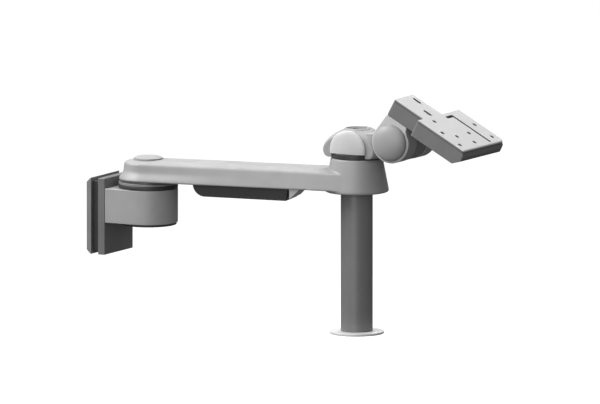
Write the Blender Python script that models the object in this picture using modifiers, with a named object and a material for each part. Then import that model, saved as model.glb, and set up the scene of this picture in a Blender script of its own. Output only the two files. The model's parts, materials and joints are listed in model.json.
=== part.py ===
"""Wall-mounted swivel arm for dental equipment, with a drop post and a tilting equipment plate.

Metres, +Z up. The origin is the centre of the slide plate's back face, +X points out of the wall.
Four rigid bodies: the wall bracket, the arm with its drop post, the swivel head and the tilt head.
Each body has its own empty, which stands on the axis of the joint that moves the body.
"""

import math

import bmesh
import bpy
from mathutils import Matrix

# ---------------------------------------------------------------- driving dimensions, in metres
GAP = 0.0003  # between two pieces that touch or seat on each other
RUN = 0.0001  # radial clearance of a shaft that turns in its bore
ROUND = 32  # facets of a turned piece
SMALL = 12  # facets of a screw

# Wall bracket: a slide plate, a narrower neck and a front plate, stacked along X
BRACKET_WIDTH = 0.0826
BRACKET_HEIGHT = 0.107
SLIDE_THICK = 0.0070
SLIDE_CHAMFER = 0.0060
NECK_THICK = 0.0103
NECK_INSET = 0.0045
FRONT_THICK = 0.0105
PLATE_EDGE = 0.0008

# Pivot housing, with the vertical axis that the arm swings about
HOUSING_RADIUS = 0.0413
HOUSING_BACK_ROOM = 0.0051  # front plate to the back of the round washer and disc
HOUSING_LOW = -0.0084
HOUSING_HIGH = 0.0396
BOTTOM_CAP_THICK = 0.0029
BOTTOM_CAP_INSET = 0.0018
THRUST_THICK = 0.0050
SPINDLE_RADIUS = 0.0120
BUSH_WALL = 0.0030
BUSH_FLANGE_LIP = 0.0046
BUSH_FLANGE_THICK = 0.0027
BUSH_LENGTH = 0.0145
NUT_RECESS_ROOM = 0.0036  # around the nut's corners
NUT_RECESS_DEPTH = 0.0134
NUT_LAND = 0.0080  # spindle to the nut's corners
NUT_THICK = 0.0068
WASHER_LAND = 0.0080
WASHER_THICK = 0.0024

# Long screws that clamp the slide plate, neck, front plate and housing together
HOUSING_SCREW_RADIUS = 0.0030
HOUSING_SCREW_SIDE = 0.0270
HOUSING_SCREW_LOW = 0.0010
HOUSING_SCREW_HIGH = 0.0300
HOUSING_SCREW_BITE = 0.0150

# Stop pin in the housing, and the arc groove in the turntable that it runs in
STOP_RADIUS = 0.0025
STOP_CIRCLE = 0.0310
STOP_DEPTH = 0.0100
STOP_BEARING = math.radians(180)
GROOVE_DEPTH = 0.0024
SWING_LEFT = math.radians(80)
SWING_RIGHT = math.radians(100)

# Arm casting: drafted sides, hollow from below, with a conical boss at its outer end
ARM_LENGTH = 0.305
ARM_SWING = math.radians(10)
ARM_LOW = 0.0513
ARM_HEIGHT = 0.0281
ARM_TOP_RADIUS = 0.0325
ARM_WALL = 0.0045
ARM_HUB_RADIUS = 0.0290
TURNTABLE_DISC = 0.0033
TURNTABLE_NECK = 0.0050
SPINDLE_SHOULDER = 0.0045
SPINDLE_HEAD_THICK = 0.0060
PIVOT_CAP_LAP = 0.0035  # over the spindle's head
PIVOT_CAP_HEIGHT = 0.0036
ARM_LID_THICK = 0.0025

# Boss at the end of the arm
BOSS_LOW = 0.0473
BOSS_HIGH = 0.0954
BOSS_LOW_RADIUS = 0.0458
BOSS_HIGH_RADIUS = 0.0360
BOSS_EDGE = 0.0022

# Cable cover under the arm, with a separate ramp at its outer end
COVER_START = 0.0725
COVER_LENGTH = 0.1405
COVER_DEPTH = 0.0183
COVER_HALF_WIDTH = 0.0250
COVER_NOSE = 0.0175
COVER_WALL = 0.0025
COVER_EDGE = 0.0040
COVER_TAIL = 0.0025
RAMP_LENGTH = 0.0160
COVER_SCREW_RADIUS = 0.0020
COVER_SCREW_INSET = 0.0350

# Drop post under the boss
POST_RADIUS = 0.02225
POST_WALL = 0.0030
POST_DROP = 0.1943  # boss underside to the post's lower end
POST_SOCKET = 0.0150
FOOT_RADIUS = 0.0380
FOOT_THICK = 0.0040
FOOT_SPIGOT = 0.0180
POST_SCREW_RADIUS = 0.0030
POST_SCREW_LENGTH = 0.0130
POST_SCREW_BEARINGS = (math.radians(46), math.radians(91))

# Swivel head: ring, domed housing, cross barrel and the neck to the tilt lug
RING_RADIUS = 0.0354
RING_THICK = 0.0070
DOME_RADIUS = 0.0470
DOME_WAIST = 0.1072  # height of the widest circle
DOME_RISE = 0.0312
DOME_POWER = 1.70
DOME_SKIRT = 0.0976  # height of the skirt's lower edge
DOME_TOP = 0.1364
DOME_TOP_RIM = 0.0035  # flat top, outside the recess
SKIRT_BORE = 0.0359
BARREL_HEIGHT = 0.1080
BARREL_RADIUS = 0.0277
BARREL_HALF = 0.0255
SIDE_CAP_BULGE = 0.0055
TOP_RECESS_SHOULDER = 0.0025  # outside the spindle
TOP_RECESS_DEPTH = 0.0125
TOP_CAP_THICK = 0.0030
TOP_CAP_SUNK = 0.0008
HEAD_SWIVEL = math.radians(-10)

# Tilt joint: centre lug on the head, two cheeks on the bracket
TILT_REACH = 0.0752
TILT_HEIGHT = 0.1252
TILT_DOWN = math.radians(28.4)
LUG_SHY = 0.0004  # inside the cheeks' radius
LUG_HALF = 0.0145
CHEEK_RADIUS = 0.0288
CHEEK_OUTER = 0.0416
FRICTION_THICK = 0.0014
FRICTION_INSET = 0.0044
AXLE_RADIUS = 0.0080
AXLE_HEAD_RADIUS = 0.0120
AXLE_HEAD_THICK = 0.0052
CHEEK_BORE_RADIUS = 0.0155
CHEEK_BORE_DEPTH = 0.0075
END_CAP_INSET = 0.0033
END_CAP_BULGE = 0.0100
END_CAP_RIM = 0.0016

# Bracket, tray and equipment plate, measured from the tilt axis along the plate
SADDLE_WALL = 0.0037
TRAY_DEPTH = 0.0215
TRAY_WALL = 0.0030
TOP_THICK = 0.0034
PLATE_REAR = -0.0236
PLATE_STEP = 0.0277
PLATE_FRONT = 0.1105
NARROW_NEAR = -0.0416
NARROW_FAR = 0.0125
WIDE_NEAR = -0.0570
WIDE_FAR = 0.0630
CORNER = 0.0030
NEAR_TIP = 0.0025  # front corners of the plate and tray
FAR_TIP = 0.0090
NOSE_REACH = 0.0030  # the tray's front swells this far past the plate's edge
NOSE_HIGH = 0.0060  # tray top to the swell
NOSE_FLAT = 0.0050
NOSE_UNDERCUT = 0.0115
NOSE_WALL = 0.0085  # cavity to the plate's front edge
BRACKET_FRONT = 0.0120
NECK_ROOM = 0.0150
PLATE_HOLE_RADIUS = 0.0030
PLATE_HOLES = (
    (0.0642, -0.0437), (0.0955, -0.0437), (0.0642, 0.0498), (0.0955, 0.0498),
    (0.0780, -0.0237), (0.0775, 0.0120), (0.0974, -0.0043), (0.0387, -0.0255),
)
PLATE_SLOTS = ((0.0190, -0.0140), (-0.0090, 0.0010))
SLOT_LENGTH = 0.0140
SLOT_RADIUS = 0.0030
GROOVE_SIDE = 0.0300
GROOVE_START = 0.0370
GROOVE_END = 0.1050
GROOVE_FOOT = 0.0120
GROOVE_WIDTH = 0.0048
PLATE_SCREWS = ((0.0500, -0.0350), (0.0500, 0.0460), (0.0860, -0.0340), (0.0930, 0.0200))
PLATE_SCREW_RADIUS = 0.0020
STANDOFF_RADIUS = 0.0050
BRACKET_SCREWS = ((-0.0150, -0.0290), (0.0040, -0.0290), (-0.0150, 0.0030))
BRACKET_SCREW_RADIUS = 0.0025
BRACKET_SCREW_BITE = 0.0070

# ---------------------------------------------------------------- values that follow from them
FRONT_LOW_X = SLIDE_THICK + NECK_THICK + 2 * GAP
FRONT_HIGH_X = FRONT_LOW_X + FRONT_THICK
HOUSING_X = FRONT_HIGH_X + GAP
PIVOT_X = HOUSING_X + HOUSING_RADIUS + HOUSING_BACK_ROOM
BUSH_RADIUS = SPINDLE_RADIUS + RUN + BUSH_WALL
BUSH_FLANGE_RADIUS = BUSH_RADIUS + BUSH_FLANGE_LIP
WASHER_RADIUS = SPINDLE_RADIUS + WASHER_LAND
NUT_RADIUS = SPINDLE_RADIUS + NUT_LAND
NUT_RECESS_RADIUS = NUT_RADIUS + NUT_RECESS_ROOM
SPINDLE_HEAD_RADIUS = SPINDLE_RADIUS + SPINDLE_SHOULDER
PIVOT_CAP_RADIUS = SPINDLE_HEAD_RADIUS + PIVOT_CAP_LAP
THRUST_LOW = HOUSING_HIGH + GAP
TURNTABLE_LOW = THRUST_LOW + THRUST_THICK + GAP
TURNTABLE_TOP = ARM_LOW - GAP
ARM_HIGH = ARM_LOW + ARM_HEIGHT
ARM_LOW_RADIUS = HOUSING_RADIUS
RECESS_HIGH = HOUSING_LOW + NUT_RECESS_DEPTH
PIVOT_NUT_HIGH = RECESS_HIGH - 2 * GAP - WASHER_THICK
PIVOT_NUT_LOW = PIVOT_NUT_HIGH - NUT_THICK
SEAT_HIGH = ARM_HIGH - SPINDLE_HEAD_THICK - GAP
HOLLOW_START = ARM_HUB_RADIUS
HOLLOW_END = ARM_LENGTH - BOSS_LOW_RADIUS - ARM_WALL
COVER_TOP = ARM_LOW - GAP
COVER_LOW = COVER_TOP - COVER_DEPTH
COVER_END = COVER_START + COVER_LENGTH
POST_TOP = BOSS_LOW + POST_SOCKET
POST_LOW = BOSS_LOW - POST_DROP
SWIVEL_BUSH_LOW = BOSS_HIGH - BUSH_FLANGE_THICK - BUSH_LENGTH
SOCKET_RADIUS = POST_RADIUS + GAP
SOCKET_TOP = SWIVEL_BUSH_LOW - GAP
SWIVEL_NUT_HIGH = SOCKET_TOP - 2 * GAP - WASHER_THICK
SWIVEL_NUT_LOW = SWIVEL_NUT_HIGH - NUT_THICK
RING_LOW = BOSS_HIGH + GAP
RING_HIGH = RING_LOW + RING_THICK
HEAD_FLOOR = RING_HIGH + GAP
TOP_RECESS_RADIUS = SPINDLE_RADIUS + TOP_RECESS_SHOULDER
DOME_TOP_RADIUS = TOP_RECESS_RADIUS + DOME_TOP_RIM
RECESS_FLOOR = DOME_TOP - TOP_RECESS_DEPTH
LUG_RADIUS = CHEEK_RADIUS - LUG_SHY
FRICTION_RADIUS = LUG_RADIUS - FRICTION_INSET
END_CAP_RADIUS = CHEEK_RADIUS - END_CAP_INSET
CHEEK_INNER = LUG_HALF + FRICTION_THICK + 2 * GAP
SADDLE_RADIUS = CHEEK_RADIUS + GAP
TRAY_LOW = CHEEK_RADIUS + SADDLE_WALL
TRAY_HIGH = TRAY_LOW + TRAY_DEPTH
TOP_LOW = TRAY_HIGH + GAP
TOP_HIGH = TOP_LOW + TOP_THICK
BRACKET_HIGH = TRAY_LOW - GAP

# ---------------------------------------------------------------- looks: colour, roughness, metallic
LOOKS = {
    "painted_light": ((0.42, 0.42, 0.42), 0.42, 0.0),
    "painted_wall": ((0.075, 0.075, 0.077), 0.45, 0.0),
    "slide_grey": ((0.19, 0.19, 0.195), 0.45, 0.2),
    "black_plastic": ((0.018, 0.018, 0.018), 0.5, 0.0),
    "post_grey": ((0.15, 0.15, 0.152), 0.38, 0.3),
    "foot_grey": ((0.48, 0.48, 0.48), 0.4, 0.0),
    "tray_grey": ((0.16, 0.16, 0.162), 0.5, 0.0),
    "plate_light": ((0.55, 0.55, 0.55), 0.45, 0.0),
    "cap_light": ((0.5, 0.5, 0.5), 0.4, 0.0),
    "steel": ((0.45, 0.45, 0.46), 0.3, 1.0),
    "bearing": ((0.3, 0.3, 0.29), 0.5, 0.0),
}


def clear_scene():
    for obj in list(bpy.data.objects):
        bpy.data.objects.remove(obj, do_unlink=True)


def new_collection(name):
    made = bpy.data.collections.new(name)
    bpy.context.scene.collection.children.link(made)
    return made


def new_material(name, colour, roughness, metallic):
    made = bpy.data.materials.new(name)
    made.use_nodes = True
    shader = made.node_tree.nodes["Principled BSDF"]
    shader.inputs["Base Color"].default_value = (*colour, 1.0)
    shader.inputs["Roughness"].default_value = roughness
    shader.inputs["Metallic"].default_value = metallic
    made.diffuse_color = (*colour, 1.0)
    return made


def new_frame(name, parent, location, rotation):
    """An empty on a joint's axis, which the pieces of one body are parented to."""
    empty = bpy.data.objects.new(name, None)
    PARTS.objects.link(empty)
    empty.parent = parent
    empty.location = location
    empty.rotation_euler = rotation
    return empty


def place(obj, frame, look=None, location=(0, 0, 0), rotation=(0, 0, 0)):
    """Puts a piece in its frame, or makes it a cutter when it has no look."""
    obj.parent = frame
    obj.location = location
    obj.rotation_euler = rotation
    if look is None:
        CUTTERS.objects.link(obj)
        obj.hide_render = True
        obj.display_type = "WIRE"
    else:
        PARTS.objects.link(obj)
        obj.data.materials.append(MATERIALS[look])
    return obj


def object_from(bm, name):
    mesh = bpy.data.meshes.new(name)
    bm.to_mesh(mesh)
    bm.free()
    return bpy.data.objects.new(name, mesh)


# ---------------------------------------------------------------- shapes
def arc(centre, radius, start, end, count):
    """Points on an arc, both ends included; angles in degrees."""
    angles = [math.radians(start + (end - start) * i / count) for i in range(count + 1)]
    return [(centre[0] + radius * math.cos(a), centre[1] + radius * math.sin(a)) for a in angles]


def rounded(corners, count=3):
    """An outline from (x, y, fillet radius) corners, each fillet an arc tangent to both its sides."""
    outline = []
    for i, (x, y, radius) in enumerate(corners):
        if radius == 0:
            outline.append((x, y))
            continue
        before = corners[i - 1]
        after = corners[(i + 1) % len(corners)]
        into = math.atan2(y - before[1], x - before[0])
        out = math.atan2(after[1] - y, after[0] - x)
        turn = (out - into + math.pi) % (2 * math.pi) - math.pi
        reach = radius * math.tan(abs(turn) / 2)
        side = math.copysign(math.pi / 2, turn)
        centre = (
            x - reach * math.cos(into) + radius * math.cos(into + side),
            y - reach * math.sin(into) + radius * math.sin(into + side),
        )
        start = math.degrees(into - side)
        outline += arc(centre, radius, start, start + math.degrees(turn), count)
    return outline


def turned(name, profile, frame, look=None, steps=ROUND, location=(0, 0, 0), rotation=(0, 0, 0)):
    """A solid of revolution about its own Z. The profile of (radius, height) points runs down the
    outer side from the top; a profile that leaves the axis at both ends closes as a ring."""
    bm = bmesh.new()
    verts = [bm.verts.new((radius, 0, height)) for radius, height in profile]
    for first, second in zip(verts, verts[1:]):
        bm.edges.new((first, second))
    if profile[0][0] > 0:
        bm.edges.new((verts[-1], verts[0]))
    obj = object_from(bm, name)
    screw = obj.modifiers.new("turn", "SCREW")
    screw.steps = steps
    screw.render_steps = steps
    screw.use_merge_vertices = True
    screw.merge_threshold = 0.00001
    screw.use_smooth_shade = True
    weld = obj.modifiers.new("close", "WELD")
    weld.merge_threshold = 0.00001
    return place(obj, frame, look, location, rotation)


def disc(name, radius, low, high, frame, look=None, **where):
    profile = [(0, high), (radius, high), (radius, low), (0, low)]
    return turned(name, profile, frame, look, **where)


def ring(name, outer, inner, low, high, frame, look=None, **where):
    profile = [(outer, high), (outer, low), (inner, low), (inner, high)]
    return turned(name, profile, frame, look, **where)


def prism(name, outline, low, high, frame, look=None, upright=False, rotation=(0, 0, 0)):
    """A flat outline between two heights. It lies in XY, or stands in XZ with its depth along Y."""
    curve = bpy.data.curves.new(name, "CURVE")
    curve.dimensions = "2D"
    curve.fill_mode = "BOTH"
    curve.extrude = (high - low) / 2
    spline = curve.splines.new("POLY")
    spline.points.add(len(outline) - 1)
    for point, (x, y) in zip(spline.points, outline):
        point.co = (x, y, 0, 1)
    spline.use_cyclic_u = True
    guide = bpy.data.objects.new(name + "_outline", curve)
    bpy.context.scene.collection.objects.link(guide)
    graph = bpy.context.evaluated_depsgraph_get()
    flat = bpy.data.meshes.new_from_object(guide.evaluated_get(graph))
    bpy.data.objects.remove(guide)
    bm = bmesh.new()
    bm.from_mesh(flat)
    bpy.data.meshes.remove(flat)
    bmesh.ops.remove_doubles(bm, verts=bm.verts, dist=0.000001)
    bmesh.ops.dissolve_limit(bm, angle_limit=0.001, verts=bm.verts, edges=bm.edges)
    middle = (low + high) / 2
    if upright:
        bmesh.ops.transform(bm, matrix=Matrix.Rotation(math.pi / 2, 4, "X"), verts=bm.verts)
        bmesh.ops.translate(bm, vec=(0, middle, 0), verts=bm.verts)
    else:
        bmesh.ops.translate(bm, vec=(0, 0, middle), verts=bm.verts)
    bmesh.ops.recalc_face_normals(bm, faces=bm.faces)
    return place(object_from(bm, name), frame, look, rotation=rotation)


def box(name, low, high, frame, look=None):
    """A cuboid between two opposite corners."""
    bm = bmesh.new()
    bmesh.ops.create_cube(bm, size=1)
    for vert in bm.verts:
        vert.co = [(a + b) / 2 + c * (b - a) for a, b, c in zip(low, high, vert.co)]
    return place(object_from(bm, name), frame, look)


def soften(obj, width, segments=1):
    """Rounds every edge of an outer shape; it comes before any cut."""
    bevel = obj.modifiers.new("edges", "BEVEL")
    bevel.width = width
    bevel.segments = segments
    bevel.limit_method = "ANGLE"
    bevel.angle_limit = math.radians(40)
    return obj


def combine(obj, other, operation):
    step = obj.modifiers.new(operation.lower(), "BOOLEAN")
    step.operation = operation
    step.solver = "EXACT"
    step.object = other
    return obj


def cut(obj, *cutters):
    for cutter in cutters:
        combine(obj, cutter, "DIFFERENCE")
    return obj


def join(obj, *others):
    for other in others:
        combine(obj, other, "UNION")
    return obj


def drill(obj, frame, holes, steps=SMALL):
    """Cuts straight round holes, each (radius, start, end), with one cutter that holds them all."""
    bm = bmesh.new()
    for radius, start, end in holes:
        along = [b - a for a, b in zip(start, end)]
        length = math.dist(start, end)
        turn = Matrix.Identity(4)
        if abs(along[0]) > 0.5 * length:
            turn = Matrix.Rotation(math.pi / 2, 4, "Y")
        elif abs(along[1]) > 0.5 * length:
            turn = Matrix.Rotation(math.pi / 2, 4, "X")
        centre = [(a + b) / 2 for a, b in zip(start, end)]
        bmesh.ops.create_cone(
            bm, cap_ends=True, segments=steps, radius1=radius, radius2=radius, depth=length,
            matrix=Matrix.Translation(centre) @ turn,
        )
    return cut(obj, place(object_from(bm, obj.name + "_holes"), frame))


def socket_screw(name, radius, length, frame, look="steel", **where):
    """A cap screw: its seat is at height 0, the shank runs down, the head up, with a hex socket."""
    head = radius * 1.8
    tall = radius * 1.6
    chamfer = radius * 0.2
    profile = [
        (0, tall), (head - chamfer, tall), (head, tall - chamfer), (head, 0),
        (radius, 0), (radius, -length), (0, -length),
    ]
    screw = turned(name, profile, frame, look, steps=SMALL, **where)
    bm = bmesh.new()
    bmesh.ops.create_cone(
        bm, cap_ends=True, segments=6, radius1=radius, radius2=radius, depth=tall,
        matrix=Matrix.Translation((0, 0, tall)),
    )
    socket = place(object_from(bm, name + "_socket"), frame, **where)
    return cut(screw, socket)


def hex_nut(name, low, high, bore, frame, **where):
    """A nut with its lower and upper faces at these heights, chamfered at its corners."""
    bm = bmesh.new()
    bmesh.ops.create_cone(
        bm, cap_ends=True, segments=6, radius1=NUT_RADIUS, radius2=NUT_RADIUS, depth=high - low,
        matrix=Matrix.Translation((0, 0, (low + high) / 2)),
    )
    nut = soften(place(object_from(bm, name), frame, "steel", **where), 0.0006)
    hole = disc(name + "_hole", bore, low - 0.01, high + 0.01, frame, steps=ROUND, **where)
    return cut(nut, hole)


def flanged_bush(name, flange_z, up, frame):
    """A plastic bush whose flange starts at flange_z; the sleeve runs the other way."""
    inner = SPINDLE_RADIUS + RUN
    near = flange_z + up * BUSH_FLANGE_THICK
    far = flange_z - up * BUSH_LENGTH
    profile = [
        (BUSH_FLANGE_RADIUS, near), (BUSH_FLANGE_RADIUS, flange_z), (BUSH_RADIUS, flange_z),
        (BUSH_RADIUS, far), (inner, far), (inner, near),
    ]
    if up < 0:
        profile = [profile[i] for i in (3, 2, 1, 0, 5, 4)]
    return turned(name, profile, frame, "bearing")


def dome_profile(base_radius, bulge, base, thickness, count=5):
    """A shallow domed disc, its flat side at height base and its crown bulge higher."""
    crown = [
        (base_radius * math.sin(a), base + thickness + bulge * math.cos(a))
        for a in (math.pi / 2 * i / count for i in range(count + 1))
    ]
    crown[0] = (0, base + thickness + bulge)
    return crown + [(base_radius, base), (0, base)]


# ---------------------------------------------------------------- wall bracket
def screw_places():
    return [
        (side * HOUSING_SCREW_SIDE, height)
        for side in (-1, 1)
        for height in (HOUSING_SCREW_LOW, HOUSING_SCREW_HIGH)
    ]


def bracket_plate(name, low, high, inset, chamfer, look):
    """One plate of the stack; a chamfer takes off the upper and lower edges of its back."""
    top = BRACKET_HEIGHT / 2 - inset
    half = BRACKET_WIDTH / 2 - inset
    outline = [(high, -top), (high, top), (low + chamfer, top), (low, top - chamfer)]
    outline += [(low, chamfer - top), (low + chamfer, -top)]
    if chamfer == 0:
        outline = [(high, -top), (high, top), (low, top), (low, -top)]
    plate = soften(prism(name, outline, -half, half, WALL, look, upright=True), PLATE_EDGE)
    hole = HOUSING_SCREW_RADIUS + GAP
    drill(plate, WALL, [(hole, (low - 0.01, y, z), (high + 0.01, y, z)) for y, z in screw_places()])
    return plate


def make_bracket_stack():
    slide = bracket_plate("slide_plate", 0, SLIDE_THICK, 0, SLIDE_CHAMFER, "slide_grey")
    head = HOUSING_SCREW_RADIUS * 1.8 + GAP
    depth = HOUSING_SCREW_RADIUS * 1.6 + 2 * GAP
    drill(slide, WALL, [(head, (-0.01, y, z), (depth, y, z)) for y, z in screw_places()])
    neck_low = SLIDE_THICK + GAP
    bracket_plate("slide_neck", neck_low, neck_low + NECK_THICK, NECK_INSET, 0, "black_plastic")
    bracket_plate("front_plate", FRONT_LOW_X, FRONT_HIGH_X, 0, 0, "painted_wall")
    for number, (y, z) in enumerate(screw_places(), 1):
        socket_screw(
            f"housing_screw_{number}", HOUSING_SCREW_RADIUS, HOUSING_X + HOUSING_SCREW_BITE - depth,
            WALL, location=(depth - GAP, y, z), rotation=(0, -math.pi / 2, 0),
        )


def make_pivot_housing():
    outline = [(HOUSING_X - PIVOT_X, HOUSING_RADIUS), (HOUSING_X - PIVOT_X, -HOUSING_RADIUS)]
    outline += arc((0, 0), HOUSING_RADIUS, -90, 90, ROUND // 2)
    housing = prism("pivot_housing", outline, HOUSING_LOW, HOUSING_HIGH, PIVOT, "painted_light")
    soften(housing, PLATE_EDGE)
    flange = BUSH_FLANGE_RADIUS + GAP
    top = HOUSING_HIGH - BUSH_FLANGE_THICK - GAP
    low = RECESS_HIGH + BUSH_FLANGE_THICK + GAP
    bore = [
        (0, HOUSING_HIGH + 0.01), (flange, HOUSING_HIGH + 0.01), (flange, top),
        (BUSH_RADIUS + GAP, top), (BUSH_RADIUS + GAP, low), (flange, low), (flange, RECESS_HIGH),
        (NUT_RECESS_RADIUS, RECESS_HIGH), (NUT_RECESS_RADIUS, HOUSING_LOW - 0.01), (0, HOUSING_LOW - 0.01),
    ]
    cut(housing, turned("pivot_housing_bore", bore, PIVOT))
    hole = HOUSING_SCREW_RADIUS + GAP
    end = HOUSING_X + HOUSING_SCREW_BITE + 2 * GAP
    drill(housing, WALL, [(hole, (HOUSING_X - 0.01, y, z), (end, y, z)) for y, z in screw_places()])
    x, y = stop_place()
    drill(housing, PIVOT, [(
        STOP_RADIUS + GAP, (x, y, HOUSING_HIGH - STOP_DEPTH - GAP), (x, y, HOUSING_HIGH + 0.01)
    )])


def stop_place():
    return STOP_CIRCLE * math.cos(STOP_BEARING), STOP_CIRCLE * math.sin(STOP_BEARING)


def make_pivot_bearing():
    flanged_bush("pivot_bush_upper", HOUSING_HIGH - BUSH_FLANGE_THICK, 1, PIVOT)
    flanged_bush("pivot_bush_lower", RECESS_HIGH + BUSH_FLANGE_THICK, -1, PIVOT)
    inner = SPINDLE_RADIUS + 3 * GAP
    high = THRUST_LOW + THRUST_THICK
    edge = 0.0007
    profile = [
        (HOUSING_RADIUS - edge, high), (HOUSING_RADIUS, high - edge), (HOUSING_RADIUS, THRUST_LOW + edge),
        (HOUSING_RADIUS - edge, THRUST_LOW), (inner, THRUST_LOW), (inner, high),
    ]
    washer = turned("thrust_washer", profile, PIVOT, "black_plastic")
    x, y = stop_place()
    drill(washer, PIVOT, [(STOP_RADIUS + GAP, (x, y, THRUST_LOW - 0.01), (x, y, high + 0.01))])
    disc(
        "stop_pin", STOP_RADIUS, HOUSING_HIGH - STOP_DEPTH, TURNTABLE_LOW + GROOVE_DEPTH - GAP, PIVOT,
        "steel", steps=SMALL, location=(x, y, 0),
    )
    radius = HOUSING_RADIUS - BOTTOM_CAP_INSET
    top = HOUSING_LOW - GAP
    low = top - BOTTOM_CAP_THICK
    lip = NUT_RECESS_RADIUS - GAP
    cap = [
        (0, top), (lip - 0.0015, top), (lip - 0.0015, top + 0.0020), (lip, top + 0.0020), (lip, top),
        (radius, top), (radius, low + 0.0010), (radius - 0.0010, low), (0, low),
    ]
    turned("pivot_bottom_cap", cap, PIVOT, "black_plastic")


# ---------------------------------------------------------------- arm
def make_turntable():
    inner = SPINDLE_RADIUS + GAP
    disc_top = TURNTABLE_LOW + TURNTABLE_DISC
    radius = HOUSING_RADIUS - GAP
    neck = radius - TURNTABLE_NECK
    profile = [
        (neck, TURNTABLE_TOP), (neck, disc_top), (radius - 0.0006, disc_top), (radius, disc_top - 0.0006),
        (radius, TURNTABLE_LOW), (inner, TURNTABLE_LOW), (inner, TURNTABLE_TOP),
    ]
    turntable = turned("turntable_disc", profile, ARM, "cap_light")
    outer = STOP_CIRCLE + STOP_RADIUS + GAP
    inside = STOP_CIRCLE - STOP_RADIUS - GAP
    spare = (STOP_RADIUS + GAP) / STOP_CIRCLE
    start = math.degrees(STOP_BEARING - ARM_SWING - SWING_LEFT - spare)
    end = math.degrees(STOP_BEARING - ARM_SWING + SWING_RIGHT + spare)
    outline = arc((0, 0), outer, start, end, ROUND // 2) + arc((0, 0), inside, end, start, ROUND // 2)
    groove = prism(
        "turntable_groove", outline, TURNTABLE_LOW - 0.01, TURNTABLE_LOW + GROOVE_DEPTH, ARM
    )
    cut(turntable, groove)


def make_pivot_spindle():
    """Its head sits in the top of the arm, its nut in the bottom of the housing."""
    head_low = SEAT_HIGH + GAP
    head_high = ARM_HIGH - GAP
    low = PIVOT_NUT_LOW - GAP
    profile = [
        (0, head_high), (SPINDLE_HEAD_RADIUS, head_high), (SPINDLE_HEAD_RADIUS, head_low),
        (SPINDLE_RADIUS, head_low), (SPINDLE_RADIUS, low + 0.001), (SPINDLE_RADIUS - 0.001, low), (0, low),
    ]
    turned("pivot_spindle", profile, ARM, "steel")
    bore = SPINDLE_RADIUS + GAP
    high = RECESS_HIGH - GAP
    ring("pivot_washer", WASHER_RADIUS, bore, high - WASHER_THICK, high, ARM, "steel")
    hex_nut("pivot_nut", PIVOT_NUT_LOW, PIVOT_NUT_HIGH, bore, ARM)
    top = ARM_HIGH + GAP
    edge = 0.0014
    cap = [
        (0, top + PIVOT_CAP_HEIGHT), (PIVOT_CAP_RADIUS - 2 * edge, top + PIVOT_CAP_HEIGHT),
        (PIVOT_CAP_RADIUS - 0.6 * edge, top + PIVOT_CAP_HEIGHT - 0.4 * edge),
        (PIVOT_CAP_RADIUS, top + PIVOT_CAP_HEIGHT - 1.4 * edge), (PIVOT_CAP_RADIUS, top), (0, top),
    ]
    turned("pivot_cap", cap, ARM, "cap_light")


def arm_outline(radius, start=0.0, end=ARM_LENGTH):
    """A slot shape along the arm, round at both ends."""
    return arc((start, 0), radius, 90, 270, ROUND // 2) + arc((end, 0), radius, -90, 90, ROUND // 2)


def draft_top(obj, axis_start, axis_end, ratio):
    """Pulls the top of an arm-shaped solid in towards its long axis."""
    middle = sum(vert.co.z for vert in obj.data.vertices) / len(obj.data.vertices)
    for vert in obj.data.vertices:
        if vert.co.z > middle:
            near = min(max(vert.co.x, axis_start), axis_end)
            vert.co.x = near + (vert.co.x - near) * ratio
            vert.co.y *= ratio


def hollow_half(height):
    """Half width of the hollow, whose sides keep the wall's thickness up the draft."""
    draft = (ARM_LOW_RADIUS - ARM_TOP_RADIUS) / ARM_HEIGHT
    return ARM_LOW_RADIUS - ARM_WALL - draft * (height - ARM_LOW)


def slot_box(start, end, half):
    return rounded([(start, -half, 0), (end, -half, 0), (end, half, 0), (start, half, 0)])


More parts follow.
